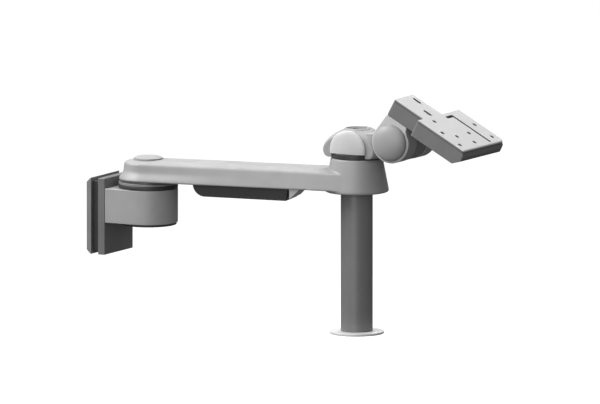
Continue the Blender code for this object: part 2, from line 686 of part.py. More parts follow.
def make_arm_casting():
    casting = prism("arm_casting", arm_outline(ARM_LOW_RADIUS), ARM_LOW, ARM_HIGH, ARM, "painted_light")
    draft_top(casting, 0, ARM_LENGTH, ARM_TOP_RADIUS / ARM_LOW_RADIUS)
    soften(casting, 0.0015, 2)
    slope = (BOSS_LOW_RADIUS - BOSS_HIGH_RADIUS) / (BOSS_HIGH - BOSS_LOW)
    boss = [
        (0, BOSS_HIGH), (BOSS_HIGH_RADIUS - 0.0008, BOSS_HIGH), (BOSS_HIGH_RADIUS, BOSS_HIGH - 0.0008),
        (BOSS_LOW_RADIUS - slope * BOSS_EDGE, BOSS_LOW + BOSS_EDGE),
        (BOSS_LOW_RADIUS - 0.3 * BOSS_EDGE, BOSS_LOW + 0.3 * BOSS_EDGE),
        (BOSS_LOW_RADIUS - BOSS_EDGE, BOSS_LOW), (0, BOSS_LOW),
    ]
    at_boss = (ARM_LENGTH, 0, 0)
    join(casting, turned("arm_boss", boss, ARM, location=at_boss))
    low = ARM_LOW - 0.01
    high = ARM_HIGH - ARM_WALL
    hollow = prism("arm_hollow", slot_box(HOLLOW_START, HOLLOW_END, hollow_half(low)), low, high, ARM)
    for vert in hollow.data.vertices:
        if vert.co.z > ARM_LOW:
            vert.co.y *= hollow_half(high) / hollow_half(low)
    seat = SPINDLE_HEAD_RADIUS + GAP
    bore = SPINDLE_RADIUS + GAP
    pivot_bore = [
        (0, ARM_HIGH + 0.01), (seat, ARM_HIGH + 0.01), (seat, SEAT_HIGH), (bore, SEAT_HIGH),
        (bore, ARM_LOW - 0.01), (0, ARM_LOW - 0.01),
    ]
    flange = BUSH_FLANGE_RADIUS + GAP
    flange_low = BOSS_HIGH - BUSH_FLANGE_THICK - GAP
    boss_bore = [
        (0, BOSS_HIGH + 0.01), (flange, BOSS_HIGH + 0.01), (flange, flange_low),
        (BUSH_RADIUS + GAP, flange_low), (BUSH_RADIUS + GAP, SOCKET_TOP), (SOCKET_RADIUS, SOCKET_TOP),
        (SOCKET_RADIUS, BOSS_LOW - 0.01), (0, BOSS_LOW - 0.01),
    ]
    cut(
        casting, hollow, turned("pivot_bore", pivot_bore, ARM),
        turned("boss_bore", boss_bore, ARM, location=at_boss),
    )
    casting.modifiers.new("flat_faces", "TRIANGULATE")  # the radial holes cut flat faces only
    for number, bearing in enumerate(POST_SCREW_BEARINGS, 1):
        hole = disc(
            f"post_screw_{number}_hole", POST_SCREW_RADIUS + GAP, SOCKET_RADIUS - 0.003,
            BOSS_LOW_RADIUS + 0.01, ARM, steps=SMALL, **post_screw_at(bearing),
        )
        cut(casting, hole)


def post_screw_at(bearing):
    """Lays a piece's Z along the radius at this bearing, half way up the post's socket."""
    height = BOSS_LOW + 0.55 * POST_SOCKET
    return {"location": (ARM_LENGTH, 0, height), "rotation": (0, math.pi / 2, bearing)}


def make_arm_lid():
    low = ARM_LOW + 2 * GAP
    high = low + ARM_LID_THICK
    outline = slot_box(HOLLOW_START + GAP, HOLLOW_END - GAP, hollow_half(high) - GAP)
    lid = prism("arm_lid", outline, low, high, ARM, "tray_grey")
    hole = COVER_SCREW_RADIUS + GAP
    drill(lid, ARM, [(hole, (x, 0, low - 0.01), (x, 0, high + 0.01)) for x in cover_screw_places()])


def cover_screw_places():
    return COVER_START + COVER_SCREW_INSET, COVER_END - COVER_SCREW_INSET


def make_cable_cover():
    """A shell under the arm, open at its top, with a round nose and a steep outer end."""
    nose = arc((COVER_START + COVER_NOSE, COVER_TOP), COVER_NOSE, 180, 270, 6)
    outline = nose + [(COVER_END - COVER_TAIL, COVER_LOW), (COVER_END, COVER_TOP)]
    width = COVER_HALF_WIDTH
    cover = prism("cable_cover", outline, -width, width, ARM, "black_plastic", upright=True)
    soften(cover, COVER_EDGE, 3)
    inner_nose = arc((COVER_START + COVER_NOSE, COVER_TOP + 0.01), COVER_NOSE - COVER_WALL, 180, 270, 4)
    inner_nose = [(x, min(max(y, COVER_LOW + COVER_WALL), COVER_TOP + 0.01)) for x, y in inner_nose]
    floor = COVER_LOW + COVER_WALL
    inside = [(COVER_START + COVER_WALL, COVER_TOP + 0.01)]
    inside += [(COVER_START + COVER_WALL, COVER_TOP), (COVER_START + COVER_NOSE, floor)]
    inside += [(COVER_END - COVER_TAIL - COVER_WALL, floor), (COVER_END - COVER_WALL, COVER_TOP)]
    inside += [(COVER_END - COVER_WALL, COVER_TOP + 0.01)]
    wall = width - COVER_WALL
    cut(cover, prism("cable_cover_inside", inside, -wall, wall, ARM, upright=True))
    for number, x in enumerate(cover_screw_places(), 1):
        standoff = disc(f"cover_standoff_{number}", STANDOFF_RADIUS, COVER_LOW + 0.001, COVER_TOP, ARM,
                        steps=SMALL, location=(x, 0, 0))
        join(cover, standoff)
    seat = COVER_LOW + COVER_SCREW_RADIUS * 1.6 + 2 * GAP
    head = COVER_SCREW_RADIUS * 1.8 + GAP
    hole = COVER_SCREW_RADIUS + GAP
    drill(cover, ARM, [(head, (x, 0, COVER_LOW - 0.01), (x, 0, seat)) for x in cover_screw_places()])
    deep = COVER_TOP + 0.01
    drill(cover, ARM, [(hole, (x, 0, COVER_LOW - 0.01), (x, 0, deep)) for x in cover_screw_places()])
    ramp_start = COVER_END + GAP
    ramp = [(ramp_start, COVER_TOP), (ramp_start, COVER_LOW + 0.0035)]
    ramp += [(ramp_start + 0.0020, COVER_LOW + 0.0035), (ramp_start + RAMP_LENGTH, COVER_TOP - 0.0008)]
    ramp += [(ramp_start + RAMP_LENGTH, COVER_TOP)]
    prism("cover_ramp", ramp, -width * 0.9, width * 0.9, ARM, "cap_light", upright=True)
    reach = ARM_LOW + ARM_LID_THICK - seat + 0.002
    for number, x in enumerate(cover_screw_places(), 1):
        socket_screw(
            f"cover_screw_{number}", COVER_SCREW_RADIUS, reach, ARM,
            location=(x, 0, seat - GAP), rotation=(math.pi, 0, 0),
        )


def make_post():
    centre = (ARM_LENGTH, 0, 0)
    inner = POST_RADIUS - POST_WALL
    ring("post_tube", POST_RADIUS, inner, POST_LOW, POST_TOP, ARM, "post_grey", location=centre)
    high = POST_LOW - GAP
    low = high - FOOT_THICK
    spigot = inner - GAP
    edge = 0.0009
    foot = [
        (0, high + FOOT_SPIGOT), (spigot - edge, high + FOOT_SPIGOT), (spigot, high + FOOT_SPIGOT - edge),
        (spigot, high), (FOOT_RADIUS - edge, high), (FOOT_RADIUS, high - edge), (FOOT_RADIUS, low + edge),
        (FOOT_RADIUS - edge, low), (0, low),
    ]
    turned("post_foot", foot, ARM, "foot_grey", location=centre)
    for number, bearing in enumerate(POST_SCREW_BEARINGS, 1):
        name = f"post_screw_{number}"
        start = POST_RADIUS + 2 * GAP
        end = start + POST_SCREW_LENGTH
        at = post_screw_at(bearing)
        screw = disc(name, POST_SCREW_RADIUS, start, end, ARM, "steel", steps=SMALL, **at)
        socket = POST_SCREW_RADIUS * 0.6
        hex_hole = disc(name + "_socket", socket, end - 0.003, end + 0.001, ARM, steps=6, **at)
        cut(screw, hex_hole)


# ---------------------------------------------------------------- swivel head
def make_swivel_bearing():
    """The bush stays in the arm; ring, spindle, washer and nut turn with the head."""
    bush = flanged_bush("swivel_bush", BOSS_HIGH - BUSH_FLANGE_THICK, 1, ARM)
    bush.location = (ARM_LENGTH, 0, 0)
    bore = SPINDLE_RADIUS + GAP
    edge = 0.0008
    profile = [
        (RING_RADIUS - edge, RING_HIGH), (RING_RADIUS, RING_HIGH - edge), (RING_RADIUS, RING_LOW + edge),
        (RING_RADIUS - edge, RING_LOW), (bore, RING_LOW), (bore, RING_HIGH),
    ]
    turned("swivel_ring", profile, HEAD, "black_plastic")
    high = SOCKET_TOP - GAP
    ring("swivel_washer", WASHER_RADIUS, bore, high - WASHER_THICK, high, HEAD, "steel")
    hex_nut("swivel_nut", SWIVEL_NUT_LOW, SWIVEL_NUT_HIGH, bore, HEAD)
    head_low = RECESS_FLOOR + GAP
    head_high = head_low + SPINDLE_HEAD_THICK
    radius = TOP_RECESS_RADIUS - 2 * GAP
    low = SWIVEL_NUT_LOW - GAP
    spindle = [
        (0, head_high), (radius, head_high), (radius, head_low), (SPINDLE_RADIUS, head_low),
        (SPINDLE_RADIUS, low + 0.001), (SPINDLE_RADIUS - 0.001, low), (0, low),
    ]
    turned("swivel_spindle", spindle, HEAD, "steel")


def dome_outline():
    """Upper half a superellipse about the waist, then a short rounded skirt outside the ring."""
    crown = []
    count = 9
    for i in range(count + 1):
        radius = DOME_TOP_RADIUS + 0.0010 + (DOME_RADIUS - DOME_TOP_RADIUS - 0.0010) * math.sin(
            math.pi / 2 * i / count
        )
        share = max(0.0, 1 - (radius / DOME_RADIUS) ** DOME_POWER)
        crown.append((radius, DOME_WAIST + DOME_RISE * share ** (1 / DOME_POWER)))
    crown = [point for point in crown if point[1] < DOME_TOP - 0.0006]
    depth = DOME_WAIST - DOME_SKIRT
    under = [
        (DOME_RADIUS - 0.0070 * (1 - math.cos(a)), DOME_WAIST - depth * math.sin(a))
        for a in (math.pi / 2 * i / 4 for i in range(1, 5))
    ]
    top = [(0, DOME_TOP), (DOME_TOP_RADIUS - 0.0008, DOME_TOP), (DOME_TOP_RADIUS, DOME_TOP - 0.0005)]
    return top + crown + under + [(SKIRT_BORE, DOME_SKIRT), (SKIRT_BORE, HEAD_FLOOR), (0, HEAD_FLOOR)]


def make_head_housing():
    housing = turned("head_housing", dome_outline(), HEAD, "painted_light")
    drop = math.degrees(math.asin((HEAD_FLOOR - BARREL_HEIGHT) / BARREL_RADIUS))
    barrel = arc((0, BARREL_HEIGHT), BARREL_RADIUS, drop, 180 - drop, ROUND // 2)
    lug_low = arc((TILT_REACH, TILT_HEIGHT), LUG_RADIUS, -105, 165, ROUND * 3 // 4)
    neck = lug_low + [(DOME_TOP_RADIUS, DOME_TOP - 0.0052), (DOME_TOP_RADIUS, HEAD_FLOOR + GAP)]
    neck += [(SKIRT_BORE + GAP, HEAD_FLOOR + GAP), (SKIRT_BORE + 0.004, DOME_SKIRT + 0.0015)]
    join(
        housing,
        prism("head_barrel", barrel, -BARREL_HALF, BARREL_HALF, HEAD, upright=True),
        soften(prism("head_neck", neck, -LUG_HALF, LUG_HALF, HEAD, upright=True), 0.0005),
    )
    bore = SPINDLE_RADIUS + GAP
    top_bore = [
        (0, DOME_TOP + 0.01), (TOP_RECESS_RADIUS, DOME_TOP + 0.01), (TOP_RECESS_RADIUS, RECESS_FLOOR),
        (bore, RECESS_FLOOR), (bore, HEAD_FLOOR - 0.01), (0, HEAD_FLOOR - 0.01),
    ]
    cut(housing, turned("head_bore", top_bore, HEAD))
    reach = 2 * DOME_RADIUS
    for name, side in (("head_flat_near", -1), ("head_flat_far", 1)):
        near, far = sorted((side * BARREL_HALF, side * reach))
        cut(housing, box(name, (-reach, near, 0), (reach, far, 2 * DOME_TOP), HEAD))
    axis = (TILT_REACH, 0, TILT_HEIGHT)
    hole = disc(
        "head_axle_hole", AXLE_RADIUS + RUN, -LUG_HALF - 0.01, LUG_HALF + 0.01, HEAD,
        location=axis, rotation=(math.pi / 2, 0, 0),
    )
    cut(housing, hole)


def make_head_trim():
    """Domed covers on the barrel's ends, cut level with the housing's floor, and the cap on top."""
    for name, side in (("side_cap_near", -1), ("side_cap_far", 1)):
        profile = dome_profile(BARREL_RADIUS, SIDE_CAP_BULGE, BARREL_HALF + GAP, 0.0012)
        at = {"location": (0, 0, BARREL_HEIGHT), "rotation": (-side * math.pi / 2, 0, 0)}
        cap = turned(name, profile, HEAD, "cap_light", **at)
        below = box(
            name + "_below", (-0.1, -0.1, HEAD_FLOOR - 0.1), (0.1, 0.1, HEAD_FLOOR), HEAD
        )
        cut(cap, below)
    top = DOME_TOP - TOP_CAP_SUNK
    radius = TOP_RECESS_RADIUS - GAP
    cap = [
        (0, top - 0.0012), (radius * 0.35, top - 0.0012), (radius * 0.42, top), (radius - 0.0006, top),
        (radius, top - 0.0006), (radius, top - TOP_CAP_THICK), (0, top - TOP_CAP_THICK),
    ]
    turned("head_top_cap", cap, HEAD, "tray_grey")
    for name, side in (("friction_washer_near", -1), ("friction_washer_far", 1)):
        start = LUG_HALF + GAP
        ring(
            name, FRICTION_RADIUS, AXLE_RADIUS + GAP, start, start + FRICTION_THICK, HEAD, "bearing",
            location=(TILT_REACH, 0, TILT_HEIGHT), rotation=(-side * math.pi / 2, 0, 0),
        )


# ---------------------------------------------------------------- tilt head
def bracket_bite(x, y):
    """Depth of a bracket screw: full into a cheek, but a gap short of the saddle where it is over it."""
    if abs(y) > CHEEK_INNER:
        return BRACKET_SCREW_BITE
    return BRACKET_HIGH - GAP - math.sqrt(SADDLE_RADIUS ** 2 - x ** 2)


def make_tilt_bracket():
    """Two cheeks joined by a saddle above the lug, with room below it for the head's neck."""
    back = math.degrees(math.atan2(BRACKET_HIGH, PLATE_REAR))
    lean = math.degrees(math.acos(CHEEK_RADIUS / math.hypot(PLATE_REAR, BRACKET_HIGH)))
    outline = arc((0, 0), CHEEK_RADIUS, back + lean, 402, ROUND * 3 // 4)
    foot = outline[-1]
    outline += [(foot[0] - 0.0045, foot[1] + 0.0030), (BRACKET_FRONT + 0.0010, BRACKET_HIGH - 0.0045)]
    outline += [(BRACKET_FRONT, BRACKET_HIGH), (PLATE_REAR, BRACKET_HIGH)]
    half = CHEEK_OUTER
    bracket = prism("tilt_bracket", outline, -half, half, TILT, "painted_light", upright=True)
    soften(bracket, 0.0010)
    flat_y = (math.pi / 2, 0, 0)
    saddle = disc("tilt_saddle", SADDLE_RADIUS, -CHEEK_INNER, CHEEK_INNER, TILT, rotation=flat_y)
    room = [(-0.06, -0.06), (0, -0.06), (0, NECK_ROOM), (-0.06, NECK_ROOM)]
    neck_room = prism("tilt_neck_room", room, -CHEEK_INNER, CHEEK_INNER, TILT, upright=True)
    bore = AXLE_RADIUS + GAP
    seat = CHEEK_OUTER - CHEEK_BORE_DEPTH
    axle_bore = [
        (0, CHEEK_OUTER + 0.01), (CHEEK_BORE_RADIUS, CHEEK_OUTER + 0.01), (CHEEK_BORE_RADIUS, seat),
        (bore, seat), (bore, -seat), (CHEEK_BORE_RADIUS, -seat), (CHEEK_BORE_RADIUS, -CHEEK_OUTER - 0.01),
        (0, -CHEEK_OUTER - 0.01),
    ]
    cut(bracket, saddle, neck_room, turned("tilt_axle_bore", axle_bore, TILT, rotation=flat_y))
    hole = BRACKET_SCREW_RADIUS + GAP
    for x, y in BRACKET_SCREWS:
        deep = BRACKET_HIGH - bracket_bite(x, y) - GAP
        drill(bracket, TILT, [(hole, (x, y, deep), (x, y, BRACKET_HIGH + 0.01))])


def make_tilt_axle():
    flat_y = (math.pi / 2, 0, 0)
    seat = CHEEK_OUTER - CHEEK_BORE_DEPTH
    head_low = seat + GAP
    head_high = head_low + AXLE_HEAD_THICK
    end = -head_high
    axle = [
        (0, head_high), (AXLE_HEAD_RADIUS, head_high), (AXLE_HEAD_RADIUS, head_low),
        (AXLE_RADIUS, head_low), (AXLE_RADIUS, end), (0, end),
    ]
    turned("tilt_axle", axle, TILT, "steel", rotation=flat_y)
    bm = bmesh.new()
    bmesh.ops.create_cone(
        bm, cap_ends=True, segments=6, radius1=AXLE_HEAD_RADIUS + 0.002, radius2=AXLE_HEAD_RADIUS + 0.002,
        depth=AXLE_HEAD_THICK, matrix=Matrix.Translation((0, 0, -(head_low + head_high) / 2)),
    )
    nut = place(object_from(bm, "axle_nut"), TILT, "steel", rotation=flat_y)
    hole = disc(
        "axle_nut_hole", AXLE_RADIUS + GAP, -head_high - 0.01, -head_low + 0.01, TILT, rotation=flat_y
    )
    cut(soften(nut, 0.0005), hole)
    for name, side in (("end_cap_near", -1), ("end_cap_far", 1)):
        profile = dome_profile(END_CAP_RADIUS, END_CAP_BULGE, CHEEK_OUTER + GAP, END_CAP_RIM, 6)
        turned(name, profile, TILT, "painted_light", rotation=(-side * math.pi / 2, 0, 0))


def flag_outline(front, inset=0.0, radius=CORNER):
    """Outline of the tray and of its plate: a narrow rear part and a wide front part."""
    rear = PLATE_REAR + inset
    step = PLATE_STEP + inset
    near = NARROW_NEAR + inset
    far = NARROW_FAR - inset
    wide_near = WIDE_NEAR + inset
    wide_far = WIDE_FAR - inset
    return rounded([
        (rear, near, radius), (step, near, 0), (step, wide_near, radius), (front, wide_near, NEAR_TIP),
        (front, wide_far, FAR_TIP - inset), (step, wide_far, radius), (step, far, 0), (rear, far, radius),
    ])


def make_tray():
    """An open tray with a swollen nose; its standoffs carry the plate's screws."""
    nose = PLATE_FRONT + NOSE_REACH
    tray = prism("plate_tray", flag_outline(nose), TRAY_LOW, TRAY_HIGH, TILT, "tray_grey")
    soften(tray, 0.0006)
    swell_high = TRAY_HIGH - NOSE_HIGH
    swell_low = swell_high - NOSE_FLAT
    away = nose + 0.01
    outside = [
        (PLATE_FRONT, TRAY_HIGH + 0.01), (PLATE_FRONT, TRAY_HIGH), (nose, swell_high), (nose, swell_low),
        (nose - NOSE_UNDERCUT, TRAY_LOW), (nose - NOSE_UNDERCUT, TRAY_LOW - 0.01),
        (away, TRAY_LOW - 0.01), (away, TRAY_HIGH + 0.01),
    ]
    cut(tray, prism("plate_tray_nose", outside, WIDE_NEAR - 0.01, WIDE_FAR + 0.01, TILT, upright=True))
    floor = TRAY_LOW + TRAY_WALL
    inside = flag_outline(PLATE_FRONT - NOSE_WALL, TRAY_WALL, CORNER - 0.0015)
    cut(tray, prism("plate_tray_inside", inside, floor, TRAY_HIGH + 0.01, TILT))
    for number, (x, y) in enumerate(PLATE_SCREWS, 1):
        post = disc(f"standoff_{number}", STANDOFF_RADIUS, floor - 0.001, TRAY_HIGH, TILT,
                    steps=SMALL, location=(x, y, 0))
        join(tray, post)
    screw_hole = PLATE_SCREW_RADIUS + GAP
    head_hole = PLATE_SCREW_RADIUS * 1.8 + GAP
    deep = TRAY_LOW + PLATE_SCREW_RADIUS * 1.6 + 2 * GAP
    drill(tray, TILT, [(head_hole, (x, y, TRAY_LOW - 0.01), (x, y, deep)) for x, y in PLATE_SCREWS])
    through = [(screw_hole, (x, y, TRAY_LOW - 0.01), (x, y, TRAY_HIGH + 0.01)) for x, y in PLATE_SCREWS]
    drill(tray, TILT, through)
    hole = BRACKET_SCREW_RADIUS + GAP
    drill(tray, TILT, [(hole, (x, y, TRAY_LOW - 0.01), (x, y, floor + 0.01)) for x, y in BRACKET_SCREWS])
    for number, (x, y) in enumerate(PLATE_SCREWS, 1):
        reach = TOP_LOW + 0.6 * TOP_THICK - deep
        socket_screw(f"plate_screw_{number}", PLATE_SCREW_RADIUS, reach, TILT,
                     location=(x, y, deep - GAP), rotation=(math.pi, 0, 0))
    for number, (x, y) in enumerate(BRACKET_SCREWS, 1):
        socket_screw(f"bracket_screw_{number}", BRACKET_SCREW_RADIUS,
                     TRAY_WALL + bracket_bite(x, y), TILT, location=(x, y, floor + GAP))


def make_equipment_plate():
    outline = flag_outline(PLATE_FRONT)
    plate = prism("equipment_plate", outline, TOP_LOW, TOP_HIGH, TILT, "plate_light")
    soften(plate, 0.0006)
    low = TOP_LOW - 0.01
    high = TOP_HIGH + 0.01
    drill(plate, TILT, [(PLATE_HOLE_RADIUS, (x, y, low), (x, y, high)) for x, y in PLATE_HOLES])
    for number, (x, y) in enumerate(PLATE_SLOTS, 1):
        straight = SLOT_LENGTH / 2 - SLOT_RADIUS
        outline = arc((x - straight, y), SLOT_RADIUS, 90, 270, 6)
        outline += arc((x + straight, y), SLOT_RADIUS, -90, 90, 6)
        cut(plate, prism(f"plate_slot_{number}", outline, low, high, TILT))
    half = GROOVE_WIDTH / 2
    corner_x = GROOVE_START
    groove = [
        (corner_x - half, GROOVE_FOOT), (corner_x + half, GROOVE_FOOT), (corner_x + half, GROOVE_SIDE - half),
        (GROOVE_END, GROOVE_SIDE - half), (GROOVE_END, GROOVE_SIDE + half),
        (corner_x - half, GROOVE_SIDE + half),
    ]
    cut(plate, prism("plate_groove", groove, low, high, TILT))
    hole = PLATE_SCREW_RADIUS + GAP
    deep = TOP_LOW + 0.6 * TOP_THICK + GAP
    drill(plate, TILT, [(hole, (x, y, low), (x, y, deep)) for x, y in PLATE_SCREWS])


clear_scene()
PARTS = new_collection("swivel_equipment_arm")
CUTTERS = new_collection("cutters")
MATERIALS = {name: new_material(name, *look) for name, look in LOOKS.items()}

WALL = new_frame("wall_frame", None, (0, 0, 0), (0, 0, 0))
PIVOT = new_frame("pivot_frame", WALL, (PIVOT_X, 0, 0), (0, 0, 0))
ARM = new_frame("arm_frame", PIVOT, (0, 0, 0), (0, 0, ARM_SWING))
HEAD = new_frame("head_frame", ARM, (ARM_LENGTH, 0, 0), (0, 0, HEAD_SWIVEL))
TILT = new_frame("tilt_frame", HEAD, (TILT_REACH, 0, TILT_HEIGHT), (0, TILT_DOWN, 0))

make_bracket_stack()
make_pivot_housing()
make_pivot_bearing()
make_turntable()
make_pivot_spindle()
make_arm_casting()
make_arm_lid()
make_cable_cover()
make_post()
make_swivel_bearing()
make_head_housing()
make_head_trim()
make_tilt_bracket()
make_tilt_axle()
make_tray()
make_equipment_plate()
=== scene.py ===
"""Looks of the wall-mounted swivel arm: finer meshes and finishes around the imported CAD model.

Metres, in the CAD's frame. Sizes come from the CAD nodes' own boxes; what a box can't tell, such as a
fillet or a dome's curve, is a named value below. Each piece is modelled in the frame of its body.
"""

import json
import math

import bmesh
import bpy
from mathutils import Matrix, Vector


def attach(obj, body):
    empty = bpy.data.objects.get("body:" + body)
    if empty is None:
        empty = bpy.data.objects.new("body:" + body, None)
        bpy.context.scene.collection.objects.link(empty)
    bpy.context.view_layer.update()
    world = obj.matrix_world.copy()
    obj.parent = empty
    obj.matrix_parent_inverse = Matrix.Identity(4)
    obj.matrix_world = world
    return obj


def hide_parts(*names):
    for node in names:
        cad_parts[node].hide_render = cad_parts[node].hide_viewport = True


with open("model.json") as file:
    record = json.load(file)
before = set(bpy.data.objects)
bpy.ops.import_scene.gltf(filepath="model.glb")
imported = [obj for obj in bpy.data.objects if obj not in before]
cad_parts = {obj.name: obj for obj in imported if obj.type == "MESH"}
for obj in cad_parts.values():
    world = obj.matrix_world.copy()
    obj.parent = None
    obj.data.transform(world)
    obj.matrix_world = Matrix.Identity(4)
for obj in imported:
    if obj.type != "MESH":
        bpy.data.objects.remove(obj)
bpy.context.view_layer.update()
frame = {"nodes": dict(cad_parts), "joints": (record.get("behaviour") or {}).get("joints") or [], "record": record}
NODES = frame["nodes"]

# ---------------------------------------------------------------- values that the boxes don't give
GAP = 0.0003
ROUND = 128  # facets of a turned piece
FINE = 48  # facets of a screw or a small hole
TURNED_MERGE = 0.00001  # points closer than this become one
FLAT_MERGE = 0.000001
PAST = 0.01  # how far a cutter reaches past what it cuts
OVERLAP = 0.001  # how far a standoff or a cutter reaches into what it meets
WELL_PAST = 0.1  # beyond every side of a small piece
SHEET_EDGE = 0.0008  # rounding of the bracket plates, the tray and its plate
RING_EDGE = 0.0008
TINY_EDGE = 0.0003
CAP_WALL = 0.0015  # rim of a plastic cap
ARM_GRAIN = 0.0010  # the castings are remeshed at these voxel sizes, then smoothed in passes
ARM_PASSES = 14
HEAD_GRAIN = 0.0008
HEAD_PASSES = 5
SCREW_HEAD_RATIO = 1.8  # head to shank
SCREW_HEAD_DEPTH = 1.6  # in shank radii
HOUSING_SEAT_DEPTH = 1.7  # in hole radii

SLIDE_CHAMFER = 0.0060
HOUSING_EDGE = 0.0010
HOUSING_SCREW_HEAD = 0.0057
BUSH_WALL = 0.0034
BUSH_FLANGE = 0.0027
NUT_RECESS_ROOM = 0.0036
SPINDLE_SHOULDER = 0.0045
SPINDLE_HEAD_DEPTH = 0.0066
WASHER_BORE_ROOM = 0.0009
BOTTOM_CAP_EDGE = 0.0012
BOTTOM_DIP = 0.0006  # its rim and its floor are shares of the cap's radius
BOTTOM_DIP_RIM = 0.55
BOTTOM_DIP_FLOOR = 0.52
TURNTABLE_DISC = 0.0033
TURNTABLE_LIP = 0.0050
TURNTABLE_FILLET = 0.0004
TURNTABLE_EDGE = 0.0006
PIVOT_CAP_FLAT = 0.80  # of its radius
PIVOT_CAP_BEND = 0.0030
PIVOT_CAP_FALL = 0.0018
PIVOT_CAP_EDGE = 0.0006

ARM_TOP_SHARE = 0.811  # of the half-width at the arm's foot
ARM_CROWN_HIGH = 0.0050  # each side of the arm's top is a quarter of an ellipse
ARM_CROWN_WIDE = 0.0250
ARM_WALL = 0.0045
PIVOT_CAP_SKIRT = 0.0007  # reaches down beside the crown of the arm
FLARE_END = 0.165  # along the arm, where its hollow sides have become straight
SWELL = 0.075  # the arm widens to its boss over this length
HOLLOW_CURVED = 0.72  # how the hollow side fades upwards: these two add up to 1
HOLLOW_STRAIGHT = 0.28
HOLLOW_FROM = 0.03  # shares of the arm's height
HOLLOW_OVER = 0.47
HOLLOW_HIGH_HALF = 0.0255
END_STEPS = 64  # facets of the arm round an end, along a side, up its wall and over its crown
SIDE_STEPS = 100
WALL_LEVELS = 32
CROWN_LEVELS = 12
BOSS_HIGH_RADIUS = 0.0360
BOSS_INSET = 0.0008  # the beam ends inside the boss by this much
BOSS_TOP_EDGE = 0.0012
BOSS_FOOT_EDGE = 0.0026
COVER_NOSE = 0.0175
COVER_WALL = 0.0025
COVER_TAIL = 0.0025
COVER_EDGE = 0.0042
RAMP_LIP = 0.0020
RAMP_TOE = 0.0008
RAMP_EDGE = 0.0004
POST_WALL = 0.0030
POST_EDGE = 0.0006
FOOT_THICK = 0.0040
FOOT_EDGE = 0.0013
FOOT_DIP = 0.0004  # its rim and its floor are shares of the foot's radius
FOOT_DIP_RIM = 0.9
FOOT_DIP_FLOOR = 0.89
SPIGOT_EDGE = 0.0009

DOME_RADIUS = 0.0470
DOME_WAIST = 0.1072
DOME_RISE = 0.0312
DOME_POWER = 1.70
DOME_TOP_RADIUS = 0.0180
DOME_BREAK_HIGH = 0.0004
DOME_BREAK_WIDE = 0.0006
SKIRT_BORE = 0.0359
SKIRT_TUCK = 0.0070
NECK_SHOULDER = 0.0052
NECK_ARC_START = -105  # degrees round the lug
NECK_ARC_END = 165
NECK_FOOT_OUT = 0.004
NECK_FOOT_RISE = 0.0015
BARREL_HEIGHT = 0.1080
BARREL_RADIUS = 0.0277
TOP_RECESS_RADIUS = 0.0145
TOP_RECESS_DEPTH = 0.0125
TOP_CAP_SUNK = 0.0008  # below the top of the head
TOP_CAP_EDGE = 0.0007
TOP_DIP = 0.0012  # its rim and its floor are shares of the cap's radius
TOP_DIP_RIM = 0.42
TOP_DIP_FLOOR = 0.35
TOP_DIP_FILLET = 0.0004
TOP_DIP_EDGE = 0.0005
SIDE_CAP_RIM = 0.0012
SIDE_CAP_EDGE = 0.0005
LUG_RADIUS = 0.0284
LUG_HALF = 0.0145
LUG_FIT = 0.0001  # on the axle
AXLE_SHOULDER = 0.0040
CHEEK_RADIUS = 0.0288
CHEEK_INNER = 0.0165
CHEEK_BORE_RADIUS = 0.0155
CHEEK_BORE_DEPTH = 0.0075
CHEEK_ARC_END = 402  # degrees
CHEEK_FOOT_BACK = 0.0045
CHEEK_FOOT_RISE = 0.0030
BRACKET_FRONT = 0.0120
BRACKET_LIP = 0.0010
BRACKET_LIP_HIGH = 0.0045
BRACKET_EDGE = 0.0014
END_CAP_RIM = 0.0016
NECK_ROOM = 0.0150
NECK_ROOM_REACH = 0.06

TRAY_WALL = 0.0030
TRAY_INNER_CORNER = 0.0015
PLATE_STEP = 0.0277
NARROW_NEAR = -0.0416
NARROW_FAR = 0.0125
CORNER = 0.0030
NEAR_TIP = 0.0025
FAR_TIP = 0.0090
NOSE_HIGH = 0.0060
NOSE_FLAT = 0.0050
NOSE_UNDERCUT = 0.0115
NOSE_WALL = 0.0085
NOSE_UPPER_BEND = 0.0095
NOSE_LOWER_BEND = 0.0060
PLATE_FRONT_EDGE = 0.0030
STANDOFF_RADIUS = 0.0050
PLATE_HOLE_RADIUS = 0.0030
HOLE_CHAMFER = 0.0005
PLATE_HOLES = (
    (0.0642, -0.0437), (0.0955, -0.0437), (0.0642, 0.0498), (0.0955, 0.0498),
    (0.0780, -0.0237), (0.0775, 0.0120), (0.0974, -0.0043), (0.0387, -0.0255),
)
PLATE_SLOTS = ((0.0190, -0.0140), (-0.0090, 0.0010))
SLOT_LENGTH = 0.0140
SLOT_RADIUS = 0.0030
GROOVE_SIDE = 0.0300
GROOVE_START = 0.0370
GROOVE_END = 0.1050
GROOVE_FOOT = 0.0120
GROOVE_WIDTH = 0.0048
GROOVE_TIP = 0.0012
GROOVE_INSIDE = 0.0006
GROOVE_OUTSIDE = 0.0014

# Camera, floor and lights
VIEW_AZIMUTH = math.radians(28.5)
VIEW_ELEVATION = math.radians(8)
VIEW_TARGET = Vector((0.3146, 0, 0.0349))
VIEW_WIDTH = 0.8325
VIEW_DISTANCE = 1.35
FLOOR_HEIGHT = -0.45
FLOOR_RADIUS = 14.0

# ---------------------------------------------------------------- frames of the bodies
JOINTS = {joint["name"]: joint for joint in frame["joints"]}
MOUNTS = {mount["name"]: mount for mount in frame["record"]["mounts"]}
PIVOT_AT = Vector(JOINTS["arm_swing"]["pos_m"])
SWIVEL_AT = Vector(JOINTS["head_swivel"]["pos_m"])
TILT_AT = Vector(JOINTS["head_tilt"]["pos_m"])
PLATE_NORMAL = Vector(MOUNTS["equipment_plate_top"]["axis"])
ARM_ANGLE = math.atan2(SWIVEL_AT.y - PIVOT_AT.y, SWIVEL_AT.x - PIVOT_AT.x)
TILT_ANGLE = math.atan2(PLATE_NORMAL.x, PLATE_NORMAL.z)

